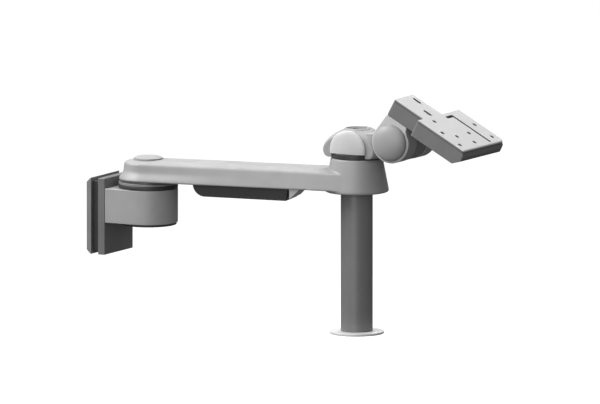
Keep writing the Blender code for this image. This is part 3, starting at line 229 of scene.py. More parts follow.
WALL = Matrix.Identity(4)
PIVOT = Matrix.Translation(PIVOT_AT)
ARM = PIVOT @ Matrix.Rotation(ARM_ANGLE, 4, "Z")
HEAD = Matrix.Translation(SWIVEL_AT)
TILT = Matrix.Translation(TILT_AT) @ Matrix.Rotation(TILT_ANGLE, 4, "Y")
ARM_LENGTH = (SWIVEL_AT - PIVOT_AT).length
BOSS = ARM @ Matrix.Translation((ARM_LENGTH, 0, 0))
LUG = HEAD.inverted() @ TILT_AT


def local_box(node, place):
    """Lowest and highest corner of a CAD node along the axes of its body's frame."""
    back = place.inverted()
    points = [back @ vert.co for vert in NODES[node].data.vertices]
    low = Vector([min(point[i] for point in points) for i in range(3)])
    high = Vector([max(point[i] for point in points) for i in range(3)])
    return low, high


def heights(node, place):
    low, high = local_box(node, place)
    return low.z, high.z


def radius_of(node, place):
    return local_box(node, place)[1].x


# ---------------------------------------------------------------- shapes
def arc(centre, radius, start, end, count):
    """Points on an arc, both ends included; angles in degrees."""
    angles = [math.radians(start + (end - start) * i / count) for i in range(count + 1)]
    return [(centre[0] + radius * math.cos(a), centre[1] + radius * math.sin(a)) for a in angles]


def rounded(corners, count=8, cyclic=True):
    """An outline from (x, y, fillet radius) corners, each fillet an arc tangent to both its sides."""
    outline = []
    last = len(corners) - 1
    for i, (x, y, radius) in enumerate(corners):
        if radius == 0 or (not cyclic and i in (0, last)):
            outline.append((x, y))
            continue
        before = corners[i - 1]
        after = corners[(i + 1) % len(corners)]
        into = math.atan2(y - before[1], x - before[0])
        out = math.atan2(after[1] - y, after[0] - x)
        turn = (out - into + math.pi) % (2 * math.pi) - math.pi
        reach = radius * math.tan(abs(turn) / 2)
        side = math.copysign(math.pi / 2, turn)
        centre = (
            x - reach * math.cos(into) + radius * math.cos(into + side),
            y - reach * math.sin(into) + radius * math.sin(into + side),
        )
        start = math.degrees(into - side)
        outline += arc(centre, radius, start, start + math.degrees(turn), count)
    return outline


def mesh_object(bm, name):
    mesh = bpy.data.meshes.new(name)
    bm.to_mesh(mesh)
    bm.free()
    obj = bpy.data.objects.new(name, mesh)
    bpy.context.scene.collection.objects.link(obj)
    return obj


def settle(obj):
    """Applies the modifiers."""
    graph = bpy.context.evaluated_depsgraph_get()
    mesh = bpy.data.meshes.new_from_object(obj.evaluated_get(graph))
    old = obj.data
    obj.modifiers.clear()
    obj.data = mesh
    bpy.data.meshes.remove(old)
    return obj


def turned(name, corners, steps=ROUND, place=None):
    """A solid turned about Z from (radius, height, fillet) corners, which run down its outer side."""
    on_axis = corners[0][0] == 0
    profile = rounded(corners, 5, cyclic=not on_axis)
    bm = bmesh.new()
    verts = [bm.verts.new((radius, 0, height)) for radius, height in profile]
    for first, second in zip(verts, verts[1:]):
        bm.edges.new((first, second))
    if not on_axis:
        bm.edges.new((verts[-1], verts[0]))
    obj = mesh_object(bm, name)
    screw = obj.modifiers.new("turn", "SCREW")
    screw.steps = steps
    screw.render_steps = steps
    screw.use_merge_vertices = True
    screw.merge_threshold = TURNED_MERGE
    weld = obj.modifiers.new("close", "WELD")
    weld.merge_threshold = TURNED_MERGE
    settle(obj)
    if place is not None:
        obj.data.transform(place)
    return obj


def prism(name, outline, low, high, upright=False):
    """A flat outline between two heights. It lies in XY, or stands in XZ with its depth along Y."""
    curve = bpy.data.curves.new(name, "CURVE")
    curve.dimensions = "2D"
    curve.fill_mode = "BOTH"
    curve.extrude = (high - low) / 2
    spline = curve.splines.new("POLY")
    spline.points.add(len(outline) - 1)
    for point, (x, y) in zip(spline.points, outline):
        point.co = (x, y, 0, 1)
    spline.use_cyclic_u = True
    guide = bpy.data.objects.new(name, curve)
    bpy.context.scene.collection.objects.link(guide)
    graph = bpy.context.evaluated_depsgraph_get()
    flat = bpy.data.meshes.new_from_object(guide.evaluated_get(graph))
    bpy.data.objects.remove(guide)
    bm = bmesh.new()
    bm.from_mesh(flat)
    bpy.data.meshes.remove(flat)
    bmesh.ops.remove_doubles(bm, verts=bm.verts, dist=FLAT_MERGE)
    bmesh.ops.dissolve_limit(bm, angle_limit=0.001, verts=bm.verts, edges=bm.edges)
    middle = (low + high) / 2
    if upright:
        bmesh.ops.transform(bm, matrix=Matrix.Rotation(math.pi / 2, 4, "X"), verts=bm.verts)
        bmesh.ops.translate(bm, vec=(0, middle, 0), verts=bm.verts)
    else:
        bmesh.ops.translate(bm, vec=(0, 0, middle), verts=bm.verts)
    bmesh.ops.recalc_face_normals(bm, faces=bm.faces)
    return mesh_object(bm, name)


def rod(radius, start, end, steps=FINE):
    """A round cutter between two points."""
    along = Vector(end) - Vector(start)
    turn = along.to_track_quat("Z", "Y").to_matrix().to_4x4()
    bm = bmesh.new()
    bmesh.ops.create_cone(
        bm, cap_ends=True, segments=steps, radius1=radius, radius2=radius, depth=along.length,
        matrix=Matrix.Translation((Vector(start) + Vector(end)) / 2) @ turn,
    )
    return mesh_object(bm, "rod")


def soften(obj, width, segments=3):
    """Rounds every sharp edge."""
    bevel = obj.modifiers.new("edges", "BEVEL")
    bevel.width = width
    bevel.segments = segments
    bevel.limit_method = "ANGLE"
    bevel.angle_limit = math.radians(40)
    return settle(obj)


def combine(obj, others, operation):
    for other in others:
        step = obj.modifiers.new("step", "BOOLEAN")
        step.operation = operation
        step.solver = "EXACT"
        step.object = other
        settle(obj)
        bpy.data.objects.remove(other)
    return obj


def cut(obj, *cutters):
    return combine(obj, cutters, "DIFFERENCE")


def join(obj, *others):
    return combine(obj, others, "UNION")


def cast(obj, grain, passes):
    """Gives a joined shape the soft edges and fillets of a casting."""
    skin = obj.modifiers.new("skin", "REMESH")
    skin.mode = "VOXEL"
    skin.voxel_size = grain
    smooth = obj.modifiers.new("soften", "SMOOTH")
    smooth.factor = 0.5
    smooth.iterations = passes
    return settle(obj)


# ---------------------------------------------------------------- finishes
def socket(nodes, kind, **values):
    made = nodes.new(kind)
    for key, value in values.items():
        if key in made.inputs:
            made.inputs[key].default_value = value
        else:
            setattr(made, key, value)
    return made


def finish(name, colour, roughness, metallic=0.0, peel=0.00004, peel_scale=900, mottle=0.05, edge_highlight=0.08,
           corner_shade=0.25, reach=0.009, coat=0.0, brushed=None, side=None):
    """A finish with a fine surface grain, uneven colour and gloss, painted highlights on its edges and painted
    shade in its corners.

    With a side colour, only the faces that look along the plate's normal keep the first colour.
    """
    made = bpy.data.materials.new(name)
    made.use_nodes = True
    tree = made.node_tree
    nodes = tree.nodes
    link = tree.links.new
    shader = nodes["Principled BSDF"]
    shader.inputs["Metallic"].default_value = metallic
    shader.inputs["Coat Weight"].default_value = coat
    where = nodes.new("ShaderNodeTexCoord")
    stretch = nodes.new("ShaderNodeMapping")
    stretch.inputs["Scale"].default_value = brushed or (1, 1, 1)
    link(where.outputs["Object"], stretch.inputs["Vector"])

    cloud = socket(nodes, "ShaderNodeTexNoise", Scale=28, Detail=4, Roughness=0.6)
    link(where.outputs["Object"], cloud.inputs["Vector"])
    fine = socket(nodes, "ShaderNodeTexNoise", Scale=peel_scale, Detail=2, Roughness=0.5)
    link(stretch.outputs["Vector"], fine.inputs["Vector"])
    speck = socket(nodes, "ShaderNodeTexVoronoi", Scale=520)
    link(where.outputs["Object"], speck.inputs["Vector"])

    shade = nodes.new("ShaderNodeValToRGB")
    shade.color_ramp.elements[0].position = 0.3
    shade.color_ramp.elements[1].position = 0.7
    shade.color_ramp.elements[0].color = (*[c * (1 - mottle) for c in colour], 1)
    shade.color_ramp.elements[1].color = (*[min(1, c * (1 + mottle)) for c in colour], 1)
    link(cloud.outputs["Fac"], shade.inputs["Fac"])

    grain = socket(nodes, "ShaderNodeMix", data_type="RGBA", blend_type="MULTIPLY")
    grain.inputs["Factor"].default_value = 0.10
    dots = nodes.new("ShaderNodeValToRGB")
    dots.color_ramp.elements[0].color = (0.55, 0.55, 0.55, 1)
    dots.color_ramp.elements[1].position = 0.45
    link(fine.outputs["Fac"], dots.inputs["Fac"])
    link(shade.outputs["Color"], grain.inputs["A"])
    link(dots.outputs["Color"], grain.inputs["B"])

    # Painted highlight: edges, where the rounded normal leaves the true one, are made a little paler, as if
    # catching the light
    rounder = socket(nodes, "ShaderNodeBevel", samples=6, Radius=0.0014)
    true = nodes.new("ShaderNodeNewGeometry")
    facing = nodes.new("ShaderNodeVectorMath")
    facing.operation = "DOT_PRODUCT"
    link(rounder.outputs["Normal"], facing.inputs[0])
    link(true.outputs["Normal"], facing.inputs[1])
    edge = socket(nodes, "ShaderNodeMapRange", clamp=True)
    edge.inputs["From Min"].default_value = 0.995
    edge.inputs["From Max"].default_value = 0.86
    edge.inputs["To Max"].default_value = 1.0
    link(facing.outputs["Value"], edge.inputs["Value"])
    patchy_highlight = nodes.new("ShaderNodeMath")
    patchy_highlight.operation = "MULTIPLY"
    link(edge.outputs["Result"], patchy_highlight.inputs[0])
    link(cloud.outputs["Fac"], patchy_highlight.inputs[1])
    with_highlight = socket(nodes, "ShaderNodeMix", data_type="RGBA")
    highlight_tone = [c + (0.9 - c) * edge_highlight for c in colour]
    with_highlight.inputs["B"].default_value = (*[min(1, p * 1.15) for p in highlight_tone], 1)
    link(patchy_highlight.outputs["Value"], with_highlight.inputs["Factor"])
    link(grain.outputs["Result"], with_highlight.inputs["A"])

    if side is not None:
        upward = nodes.new("ShaderNodeVectorMath")
        upward.operation = "DOT_PRODUCT"
        upward.inputs[1].default_value = PLATE_NORMAL
        link(where.outputs["Normal"], upward.inputs[0])
        top = socket(nodes, "ShaderNodeMapRange", clamp=True)
        top.inputs["From Min"].default_value = 0.30
        top.inputs["From Max"].default_value = 0.95
        link(upward.outputs["Value"], top.inputs["Value"])
        two_tone = socket(nodes, "ShaderNodeMix", data_type="RGBA")
        two_tone.inputs["A"].default_value = (*side, 1)
        link(top.outputs["Result"], two_tone.inputs["Factor"])
        link(with_highlight.outputs["Result"], two_tone.inputs["B"])
        with_highlight = two_tone

    # Painted shade: ambient occlusion darkens the colour in corners, holes and crevices, where shade falls
    corners = socket(nodes, "ShaderNodeAmbientOcclusion", samples=8, Distance=reach)
    shade_factor = socket(nodes, "ShaderNodeMapRange", clamp=True)
    shade_factor.inputs["From Min"].default_value = 0.25
    shade_factor.inputs["From Max"].default_value = 0.85
    shade_factor.inputs["To Min"].default_value = 1 - corner_shade
    shade_factor.inputs["To Max"].default_value = 1.0
    link(corners.outputs["AO"], shade_factor.inputs["Value"])
    shaded_colour = nodes.new("ShaderNodeVectorMath")
    shaded_colour.operation = "SCALE"
    link(with_highlight.outputs["Result"], shaded_colour.inputs[0])
    link(shade_factor.outputs["Result"], shaded_colour.inputs["Scale"])
    link(shaded_colour.outputs["Vector"], shader.inputs["Base Color"])

    gloss = socket(nodes, "ShaderNodeMapRange", clamp=True)
    gloss.inputs["From Min"].default_value = 0.3
    gloss.inputs["From Max"].default_value = 0.7
    gloss.inputs["To Min"].default_value = roughness - 0.05
    gloss.inputs["To Max"].default_value = roughness + 0.07
    link(cloud.outputs["Fac"], gloss.inputs["Value"])
    link(gloss.outputs["Result"], shader.inputs["Roughness"])

    low = socket(nodes, "ShaderNodeBump", Strength=0.35, Distance=peel * 2)
    link(speck.outputs["Distance"], low.inputs["Height"])
    high = socket(nodes, "ShaderNodeBump", Strength=0.6, Distance=peel)
    link(fine.outputs["Fac"], high.inputs["Height"])
    link(low.outputs["Normal"], high.inputs["Normal"])
    link(high.outputs["Normal"], shader.inputs["Normal"])
    return made


FINISHES = {
    "painted_light": finish(
        "powder_coat_light", (0.35, 0.35, 0.35), 0.42, edge_highlight=0.0, corner_shade=0.35, reach=0.014,
    ),
    "painted_wall": finish("powder_coat_dark", (0.155, 0.155, 0.157), 0.45),
    "slide_grey": finish("slide_anodised", (0.245, 0.245, 0.25), 0.42, metallic=0.2, brushed=(1, 1, 12)),
    "black_plastic": finish("moulded_black", (0.036, 0.036, 0.036), 0.48, peel=0.00006, peel_scale=1400),
    "post_grey": finish("post_satin", (0.20, 0.20, 0.202), 0.42, metallic=0.1, brushed=(1, 1, 0.06)),
    "foot_grey": finish("foot_enamel", (0.75, 0.75, 0.75), 0.38, corner_shade=0.1),
    "tray_grey": finish("tray_powder_coat", (0.175, 0.175, 0.177), 0.5),
    "plate_light": finish(
        "plate_satin", (0.56, 0.56, 0.56), 0.45, mottle=0.03, corner_shade=0.85, side=(0.175, 0.175, 0.177),
    ),
    "cap_light": finish("moulded_light", (0.58, 0.58, 0.58), 0.4, peel=0.00002, peel_scale=1400),
    "steel": finish("zinc_steel", (0.45, 0.45, 0.46), 0.3, metallic=1.0, peel=0.00001, mottle=0.1),
    "bearing": finish("bearing_polymer", (0.3, 0.3, 0.29), 0.5, peel=0.00002),
}
# A paler copy of the housing's light paint for the tilt bracket: painted light that brightens side faces the lamps
# leave dim
BRACKET_LIT = finish("bracket_powder_coat", (0.56, 0.56, 0.56), 0.42, edge_highlight=0.0)
END_CAP_GREY = finish("end_cap_grey", (0.35, 0.35, 0.35), 0.45, edge_highlight=0.0)
# A darker copy of the light moulding for the turntable ring: painted shade standing in for the arm's shadow on it
RING_SHADED = finish("ring_painted_shade", (0.22, 0.22, 0.22), 0.4)
# A near-white copy of the light moulding for the cover ramp: painted light on faces that turn down and away from
# the lamps
RAMP_LIT = finish("ramp_light", (0.80, 0.80, 0.80), 0.45, corner_shade=0.05)


def piece(obj, place, body, slot, *nodes, sharp=35, look=None):
    """Puts a finished mesh in its body's frame, in place of the CAD nodes it stands for."""
    obj.data.transform(place)
    obj.data.shade_smooth()
    obj.data.set_sharp_from_angle(angle=math.radians(sharp))
    weighted = obj.modifiers.new("normals", "WEIGHTED_NORMAL")
    weighted.keep_sharp = True
    obj.data.materials.clear()
    obj.data.materials.append(look or FINISHES[slot])
    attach(obj, body)
    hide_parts(*nodes)
    return obj


# ---------------------------------------------------------------- wall bracket
def screw_places():
    """Side and height of the four long screws, from the CAD screws' own middles."""
    found = []
    for number in range(1, 5):
        low, high = local_box(f"housing_screw_{number}", WALL)
        found.append(((low.y + high.y) / 2, (low.z + high.z) / 2, low.x, high.x))
    return found


def bracket_plate(name, node, chamfer, slot):
    low, high = local_box(node, WALL)
    outline = [(high.x, low.z), (high.x, high.z)]
    if chamfer:
        outline += [(low.x + chamfer, high.z), (low.x, high.z - chamfer)]
        outline += [(low.x, low.z + chamfer), (low.x + chamfer, low.z)]
    else:
        outline += [(low.x, high.z), (low.x, low.z)]
    plate = soften(prism(name, outline, low.y, high.y, upright=True), SHEET_EDGE)
    screw = local_box("housing_screw_1", WALL)
    shank = (screw[1].y - screw[0].y) / 2 / SCREW_HEAD_RATIO + GAP
    holes = [rod(shank, (low.x - PAST, y, z), (high.x + PAST, y, z)) for y, z, _, _ in screw_places()]
    if chamfer:
        depth = screw[0].x + shank * HOUSING_SEAT_DEPTH
        holes += [rod(HOUSING_SCREW_HEAD, (-PAST, y, z), (depth, y, z)) for y, z, _, _ in screw_places()]
    return piece(cut(plate, *holes), WALL, "wall_bracket", slot, node)


def make_wall_bracket():
    bracket_plate("slide_plate_body", "slide_plate", SLIDE_CHAMFER, "slide_grey")
    bracket_plate("slide_neck_body", "slide_neck", 0, "black_plastic")
    bracket_plate("front_plate_body", "front_plate", 0, "painted_wall")

    low, high = local_box("pivot_housing", PIVOT)
    radius = high.x
    outline = [(low.x, radius), (low.x, -radius)] + arc((0, 0), radius, -90, 90, 72)
    housing = soften(prism("housing_body", outline, low.z, high.z), HOUSING_EDGE)
    flange = radius_of("pivot_bush_upper", PIVOT) + GAP
    flange_top = high.z
    lower_low = heights("pivot_bush_lower", PIVOT)[0]
    flange_depth = BUSH_FLANGE + GAP
    sleeve = radius_of("pivot_spindle", PIVOT) - SPINDLE_SHOULDER + BUSH_WALL
    nut = radius_of("pivot_nut", PIVOT) + NUT_RECESS_ROOM
    bore = [
        (0, flange_top + PAST, 0), (flange, flange_top + PAST, 0), (flange, flange_top - flange_depth, 0),
        (sleeve, flange_top - flange_depth, 0), (sleeve, lower_low + flange_depth, 0),
        (flange, lower_low + flange_depth, 0), (flange, lower_low, 0), (nut, lower_low, 0),
        (nut, low.z - PAST, 0), (0, low.z - PAST, 0),
    ]
    cut(housing, turned("bore", bore))
    piece(housing, PIVOT, "wall_bracket", "painted_light", "pivot_housing")

    washer_low, washer_high = heights("thrust_washer", PIVOT)
    inner = radius_of("pivot_spindle", PIVOT) - SPINDLE_SHOULDER + WASHER_BORE_ROOM
    washer = [
        (radius, washer_high, RING_EDGE), (radius, washer_low, RING_EDGE), (inner, washer_low, 0),
        (inner, washer_high, 0),
    ]
    piece(turned("thrust_washer_ring", washer), PIVOT, "wall_bracket", "black_plastic", "thrust_washer")

    cap_low, cap_high = heights("pivot_bottom_cap", PIVOT)
    cap_radius = radius_of("pivot_bottom_cap", PIVOT)
    step = low.z - GAP
    lip = nut - GAP
    cap = [
        (0, step, 0), (lip - CAP_WALL, step, 0), (lip - CAP_WALL, cap_high, 0), (lip, cap_high, TINY_EDGE),
        (lip, step, 0), (cap_radius, step, TINY_EDGE), (cap_radius, cap_low, BOTTOM_CAP_EDGE),
        (cap_radius * BOTTOM_DIP_RIM, cap_low, 0), (cap_radius * BOTTOM_DIP_FLOOR, cap_low + BOTTOM_DIP, 0),
        (0, cap_low + BOTTOM_DIP, 0),
    ]
    piece(turned("bottom_cap_disc", cap), PIVOT, "wall_bracket", "black_plastic", "pivot_bottom_cap")


# ---------------------------------------------------------------- arm
def smooth_step(value):
    share = min(max(value, 0.0), 1.0)
    return share * share * (3 - 2 * share)


def arm_beam(hub, low, high, boss_width):
    """The arm without its boss: hollow sides at the pivot that turn straight, then widen to the boss."""
    spine = [(0, math.radians(90 + 180 * i / END_STEPS)) for i in range(END_STEPS + 1)]
    spine += [(ARM_LENGTH * i / SIDE_STEPS, math.radians(270)) for i in range(1, SIDE_STEPS)]
    spine += [(ARM_LENGTH, math.radians(270 + 180 * i / END_STEPS)) for i in range(END_STEPS + 1)]
    spine += [(ARM_LENGTH * i / SIDE_STEPS, math.radians(90)) for i in range(SIDE_STEPS - 1, 0, -1)]
    shoulder = high - ARM_CROWN_HIGH
    levels = [(low + (shoulder - low) * i / WALL_LEVELS, 0) for i in range(WALL_LEVELS + 1)]
    for i in range(1, CROWN_LEVELS + 1):
        angle = math.radians(90 / CROWN_LEVELS * i)
        levels.append((shoulder + ARM_CROWN_HIGH * math.sin(angle), ARM_CROWN_WIDE * (1 - math.cos(angle))))
    bm = bmesh.new()
    rings = []
    for height, inset in levels:
        level = (height - low) / (high - low)
        straight = 1 - (1 - ARM_TOP_SHARE) * level
        curved = 1 - smooth_step((level - HOLLOW_FROM) / HOLLOW_OVER)
        hollow = HOLLOW_CURVED * curved + HOLLOW_STRAIGHT * (1 - level)
        hollow = ARM_TOP_SHARE + (1 - ARM_TOP_SHARE) * hollow
        ring = []
        for near, angle in spine:
            share = hollow + (straight - hollow) * smooth_step(near / FLARE_END)
            swell = smooth_step(1 - (ARM_LENGTH - near) / SWELL)
            width = hub * share * (1 - swell) + boss_width(height) * swell - inset
            ring.append(bm.verts.new((near + width * math.cos(angle), width * math.sin(angle), height)))
        rings.append(ring)
    for lower, upper in zip(rings, rings[1:]):
        for i in range(len(spine)):
            bm.faces.new((lower[i - 1], lower[i], upper[i], upper[i - 1]))
    bm.faces.new(reversed(rings[0]))
    bm.faces.new(rings[-1])
    bmesh.ops.recalc_face_normals(bm, faces=bm.faces)
    return mesh_object(bm, "arm_body")


def make_turntable():
    low, high = heights("turntable_disc", ARM)
    radius = radius_of("turntable_disc", ARM)
    neck = radius - TURNTABLE_LIP
    step = low + TURNTABLE_DISC
    inner = radius_of("pivot_spindle", ARM) - SPINDLE_SHOULDER + GAP
    profile = [
        (neck, high, 0), (neck, step, TURNTABLE_FILLET), (radius, step, TURNTABLE_EDGE),
        (radius, low, TINY_EDGE), (inner, low, 0), (inner, high, 0),
    ]
    # The ring's darker finish is painted shade for the arm's shadow
    piece(turned("turntable_ring", profile), ARM, "arm", "cap_light", "turntable_disc", look=RING_SHADED)
    low, high = heights("pivot_cap", ARM)
    radius = radius_of("pivot_cap", ARM)
    cap = [
        (0, high, 0), (radius * PIVOT_CAP_FLAT, high, PIVOT_CAP_BEND),
        (radius, high - PIVOT_CAP_FALL, PIVOT_CAP_EDGE), (radius, low - PIVOT_CAP_SKIRT, 0),
        (radius - CAP_WALL, low - PIVOT_CAP_SKIRT, 0), (radius - CAP_WALL, low, 0), (0, low, 0),
    ]
    same = FINISHES["painted_light"]
    piece(turned("pivot_cap_disc", cap), ARM, "arm", "cap_light", "pivot_cap", look=same)


def make_arm():
    foot_low, boss_high = heights("arm_casting", ARM)
    low = heights("turntable_disc", ARM)[1] + GAP
    high = heights("pivot_cap", ARM)[0] - GAP
    hub = -local_box("arm_casting", ARM)[0].x
    boss_radius = local_box("arm_casting", ARM)[1].x - ARM_LENGTH

    def boss_width(height):
        share = (height - foot_low) / (boss_high - foot_low)
        return boss_radius + (BOSS_HIGH_RADIUS - boss_radius) * share - BOSS_INSET

    arm = arm_beam(hub, low, high, boss_width)
    boss = [
        (0, boss_high, 0), (BOSS_HIGH_RADIUS, boss_high, BOSS_TOP_EDGE),
        (boss_radius, foot_low, BOSS_FOOT_EDGE), (0, foot_low, 0),
    ]
    join(arm, turned("boss", boss, place=Matrix.Translation((ARM_LENGTH, 0, 0))))
    cast(arm, ARM_GRAIN, ARM_PASSES)
    lid_low, lid_high = local_box("arm_lid", ARM)
    start = lid_low.x - GAP
    end = lid_high.x + GAP
    half = lid_high.y + GAP
    seat = [(start, -half), (end, -half), (end, half), (start, half)]
    hollow = prism("hollow", seat, lid_high.z, high - ARM_WALL)
    for vert in hollow.data.vertices:
        if vert.co.z > lid_high.z + OVERLAP:
            vert.co.y *= HOLLOW_HIGH_HALF / half
    cut(arm, prism("seat", seat, low - PAST, lid_high.z + GAP), hollow)
    spindle_high = heights("pivot_spindle", ARM)[1]
    head = radius_of("pivot_spindle", ARM) + GAP
    shaft = head - SPINDLE_SHOULDER
    seat = spindle_high + GAP - SPINDLE_HEAD_DEPTH
    bore = [
        (0, high + PAST, 0), (head, high + PAST, 0), (head, seat, 0), (shaft, seat, 0),
        (shaft, low - PAST, 0), (0, low - PAST, 0),
    ]
    flange = radius_of("swivel_bush", BOSS) + GAP
    flange_low = boss_high - BUSH_FLANGE - GAP
    sleeve = shaft - GAP + BUSH_WALL
    bush_low = heights("swivel_bush", BOSS)[0] - GAP
    post = radius_of("post_tube", BOSS) + GAP
    boss_bore = [
        (0, boss_high + PAST, 0), (flange, boss_high + PAST, 0), (flange, flange_low, 0),
        (sleeve, flange_low, 0), (sleeve, bush_low, 0), (post, bush_low, 0), (post, foot_low - PAST, 0),
        (0, foot_low - PAST, 0),
    ]
    at_boss = Matrix.Translation((ARM_LENGTH, 0, 0))
    cut(arm, turned("bore", bore), turned("boss_bore", boss_bore, place=at_boss))
    for number in (1, 2):
        low_corner, high_corner = local_box(f"post_screw_{number}", BOSS)
        middle = (low_corner + high_corner) / 2
        out = Vector((middle.x, middle.y, 0)).normalized()
        start = at_boss @ (out * (post - 2 * OVERLAP) + Vector((0, 0, middle.z)))
        end = at_boss @ (out * (boss_radius + PAST) + Vector((0, 0, middle.z)))
        cut(arm, rod((high_corner.z - low_corner.z) / 2 + GAP, start, end))
    piece(arm, ARM, "arm", "painted_light", "arm_casting")


def make_cable_cover():
    """A shell under the arm with a round nose, a steep outer end and a separate ramp behind it."""
    low, high = local_box("cable_cover", ARM)
    nose = arc((low.x + COVER_NOSE, high.z), COVER_NOSE, 180, 270, 24)
    outline = nose + [(high.x - COVER_TAIL, low.z), (high.x, high.z)]
    cover = prism("cable_cover_shell", outline, low.y, high.y, upright=True)
    soften(cover, COVER_EDGE, 6)
    inner = COVER_NOSE - COVER_WALL
    top = high.z + PAST
    floor = low.z + COVER_WALL
    inside = [(low.x + COVER_WALL, top)]
    inside += [(x, max(z, floor)) for x, z in arc((low.x + COVER_NOSE, high.z), inner, 180, 256, 16)]
    inside += [(high.x - COVER_TAIL - COVER_WALL, floor), (high.x - COVER_WALL, high.z)]
    inside += [(high.x - COVER_WALL, top)]
    cut(cover, prism("inside", inside, low.y + COVER_WALL, high.y - COVER_WALL, upright=True))
    for number in (1, 2):
        screw_low, screw_high = local_box(f"cover_screw_{number}", ARM)
        x = (screw_low.x + screw_high.x) / 2
        head = (screw_high.x - screw_low.x) / 2
        seat = screw_low.z + head / SCREW_HEAD_RATIO * SCREW_HEAD_DEPTH + GAP
        join(cover, rod(STANDOFF_RADIUS, (x, 0, low.z + OVERLAP), (x, 0, high.z)))
        cut(cover, rod(head + GAP, (x, 0, low.z - PAST), (x, 0, seat)))
        cut(cover, rod(head / SCREW_HEAD_RATIO + GAP, (x, 0, low.z - PAST), (x, 0, top)))
    piece(cover, ARM, "arm", "black_plastic", "cable_cover")

    low, high = local_box("cover_ramp", ARM)
    ramp = [(low.x, high.z), (low.x, low.z), (low.x + RAMP_LIP, low.z)]
    ramp += [(high.x, high.z - RAMP_TOE), (high.x, high.z)]
    ramp = soften(prism("cover_ramp_wedge", ramp, low.y, high.y, upright=True), RAMP_EDGE, 3)
    # The ramp's near-white finish is painted light on its down-turned faces
    piece(ramp, ARM, "arm", "cap_light", "cover_ramp", look=RAMP_LIT)


def make_post():
    low, high = heights("post_tube", BOSS)
    radius = radius_of("post_tube", BOSS)
    inner = radius - POST_WALL
    tube = [(radius, high, POST_EDGE), (radius, low, TINY_EDGE), (inner, low, 0), (inner, high, POST_EDGE)]
    piece(turned("post_tube_body", tube), BOSS, "arm", "post_grey", "post_tube")
    foot_low, foot_high = heights("post_foot", BOSS)
    foot_radius = radius_of("post_foot", BOSS)
    top = foot_low + FOOT_THICK
    spigot = inner - GAP
    foot = [
        (0, foot_high, 0), (spigot, foot_high, SPIGOT_EDGE), (spigot, top, 0),
        (foot_radius, top, FOOT_EDGE), (foot_radius, foot_low, FOOT_EDGE),
        (foot_radius * FOOT_DIP_RIM, foot_low, 0),
        (foot_radius * FOOT_DIP_FLOOR, foot_low + FOOT_DIP, 0), (0, foot_low + FOOT_DIP, 0),
    ]
    piece(turned("post_foot_disc", foot), BOSS, "arm", "foot_grey", "post_foot")


# ---------------------------------------------------------------- swivel head
def dome_profile(floor, skirt, top):
    """A superellipse about the waist, then a short rounded skirt outside the ring."""
    crown = []
    count = 48
    for i in range(count + 1):
        radius = DOME_TOP_RADIUS + (DOME_RADIUS - DOME_TOP_RADIUS) * math.sin(math.pi / 2 * i / count)
        share = max(0.0, 1 - (radius / DOME_RADIUS) ** DOME_POWER)
        height = DOME_WAIST + DOME_RISE * share ** (1 / DOME_POWER)
        if height < top - DOME_BREAK_HIGH:
            crown.append((radius, height, 0))
    depth = DOME_WAIST - skirt
    under = [
        (DOME_RADIUS - SKIRT_TUCK * (1 - math.cos(a)), DOME_WAIST - depth * math.sin(a), 0)
        for a in (math.pi / 2 * i / 12 for i in range(1, 13))
    ]
    start = [(0, top, 0), (DOME_TOP_RADIUS - DOME_BREAK_WIDE, top, 0)]
    return start + crown + under + [(SKIRT_BORE, skirt, 0), (SKIRT_BORE, floor, 0), (0, floor, 0)]


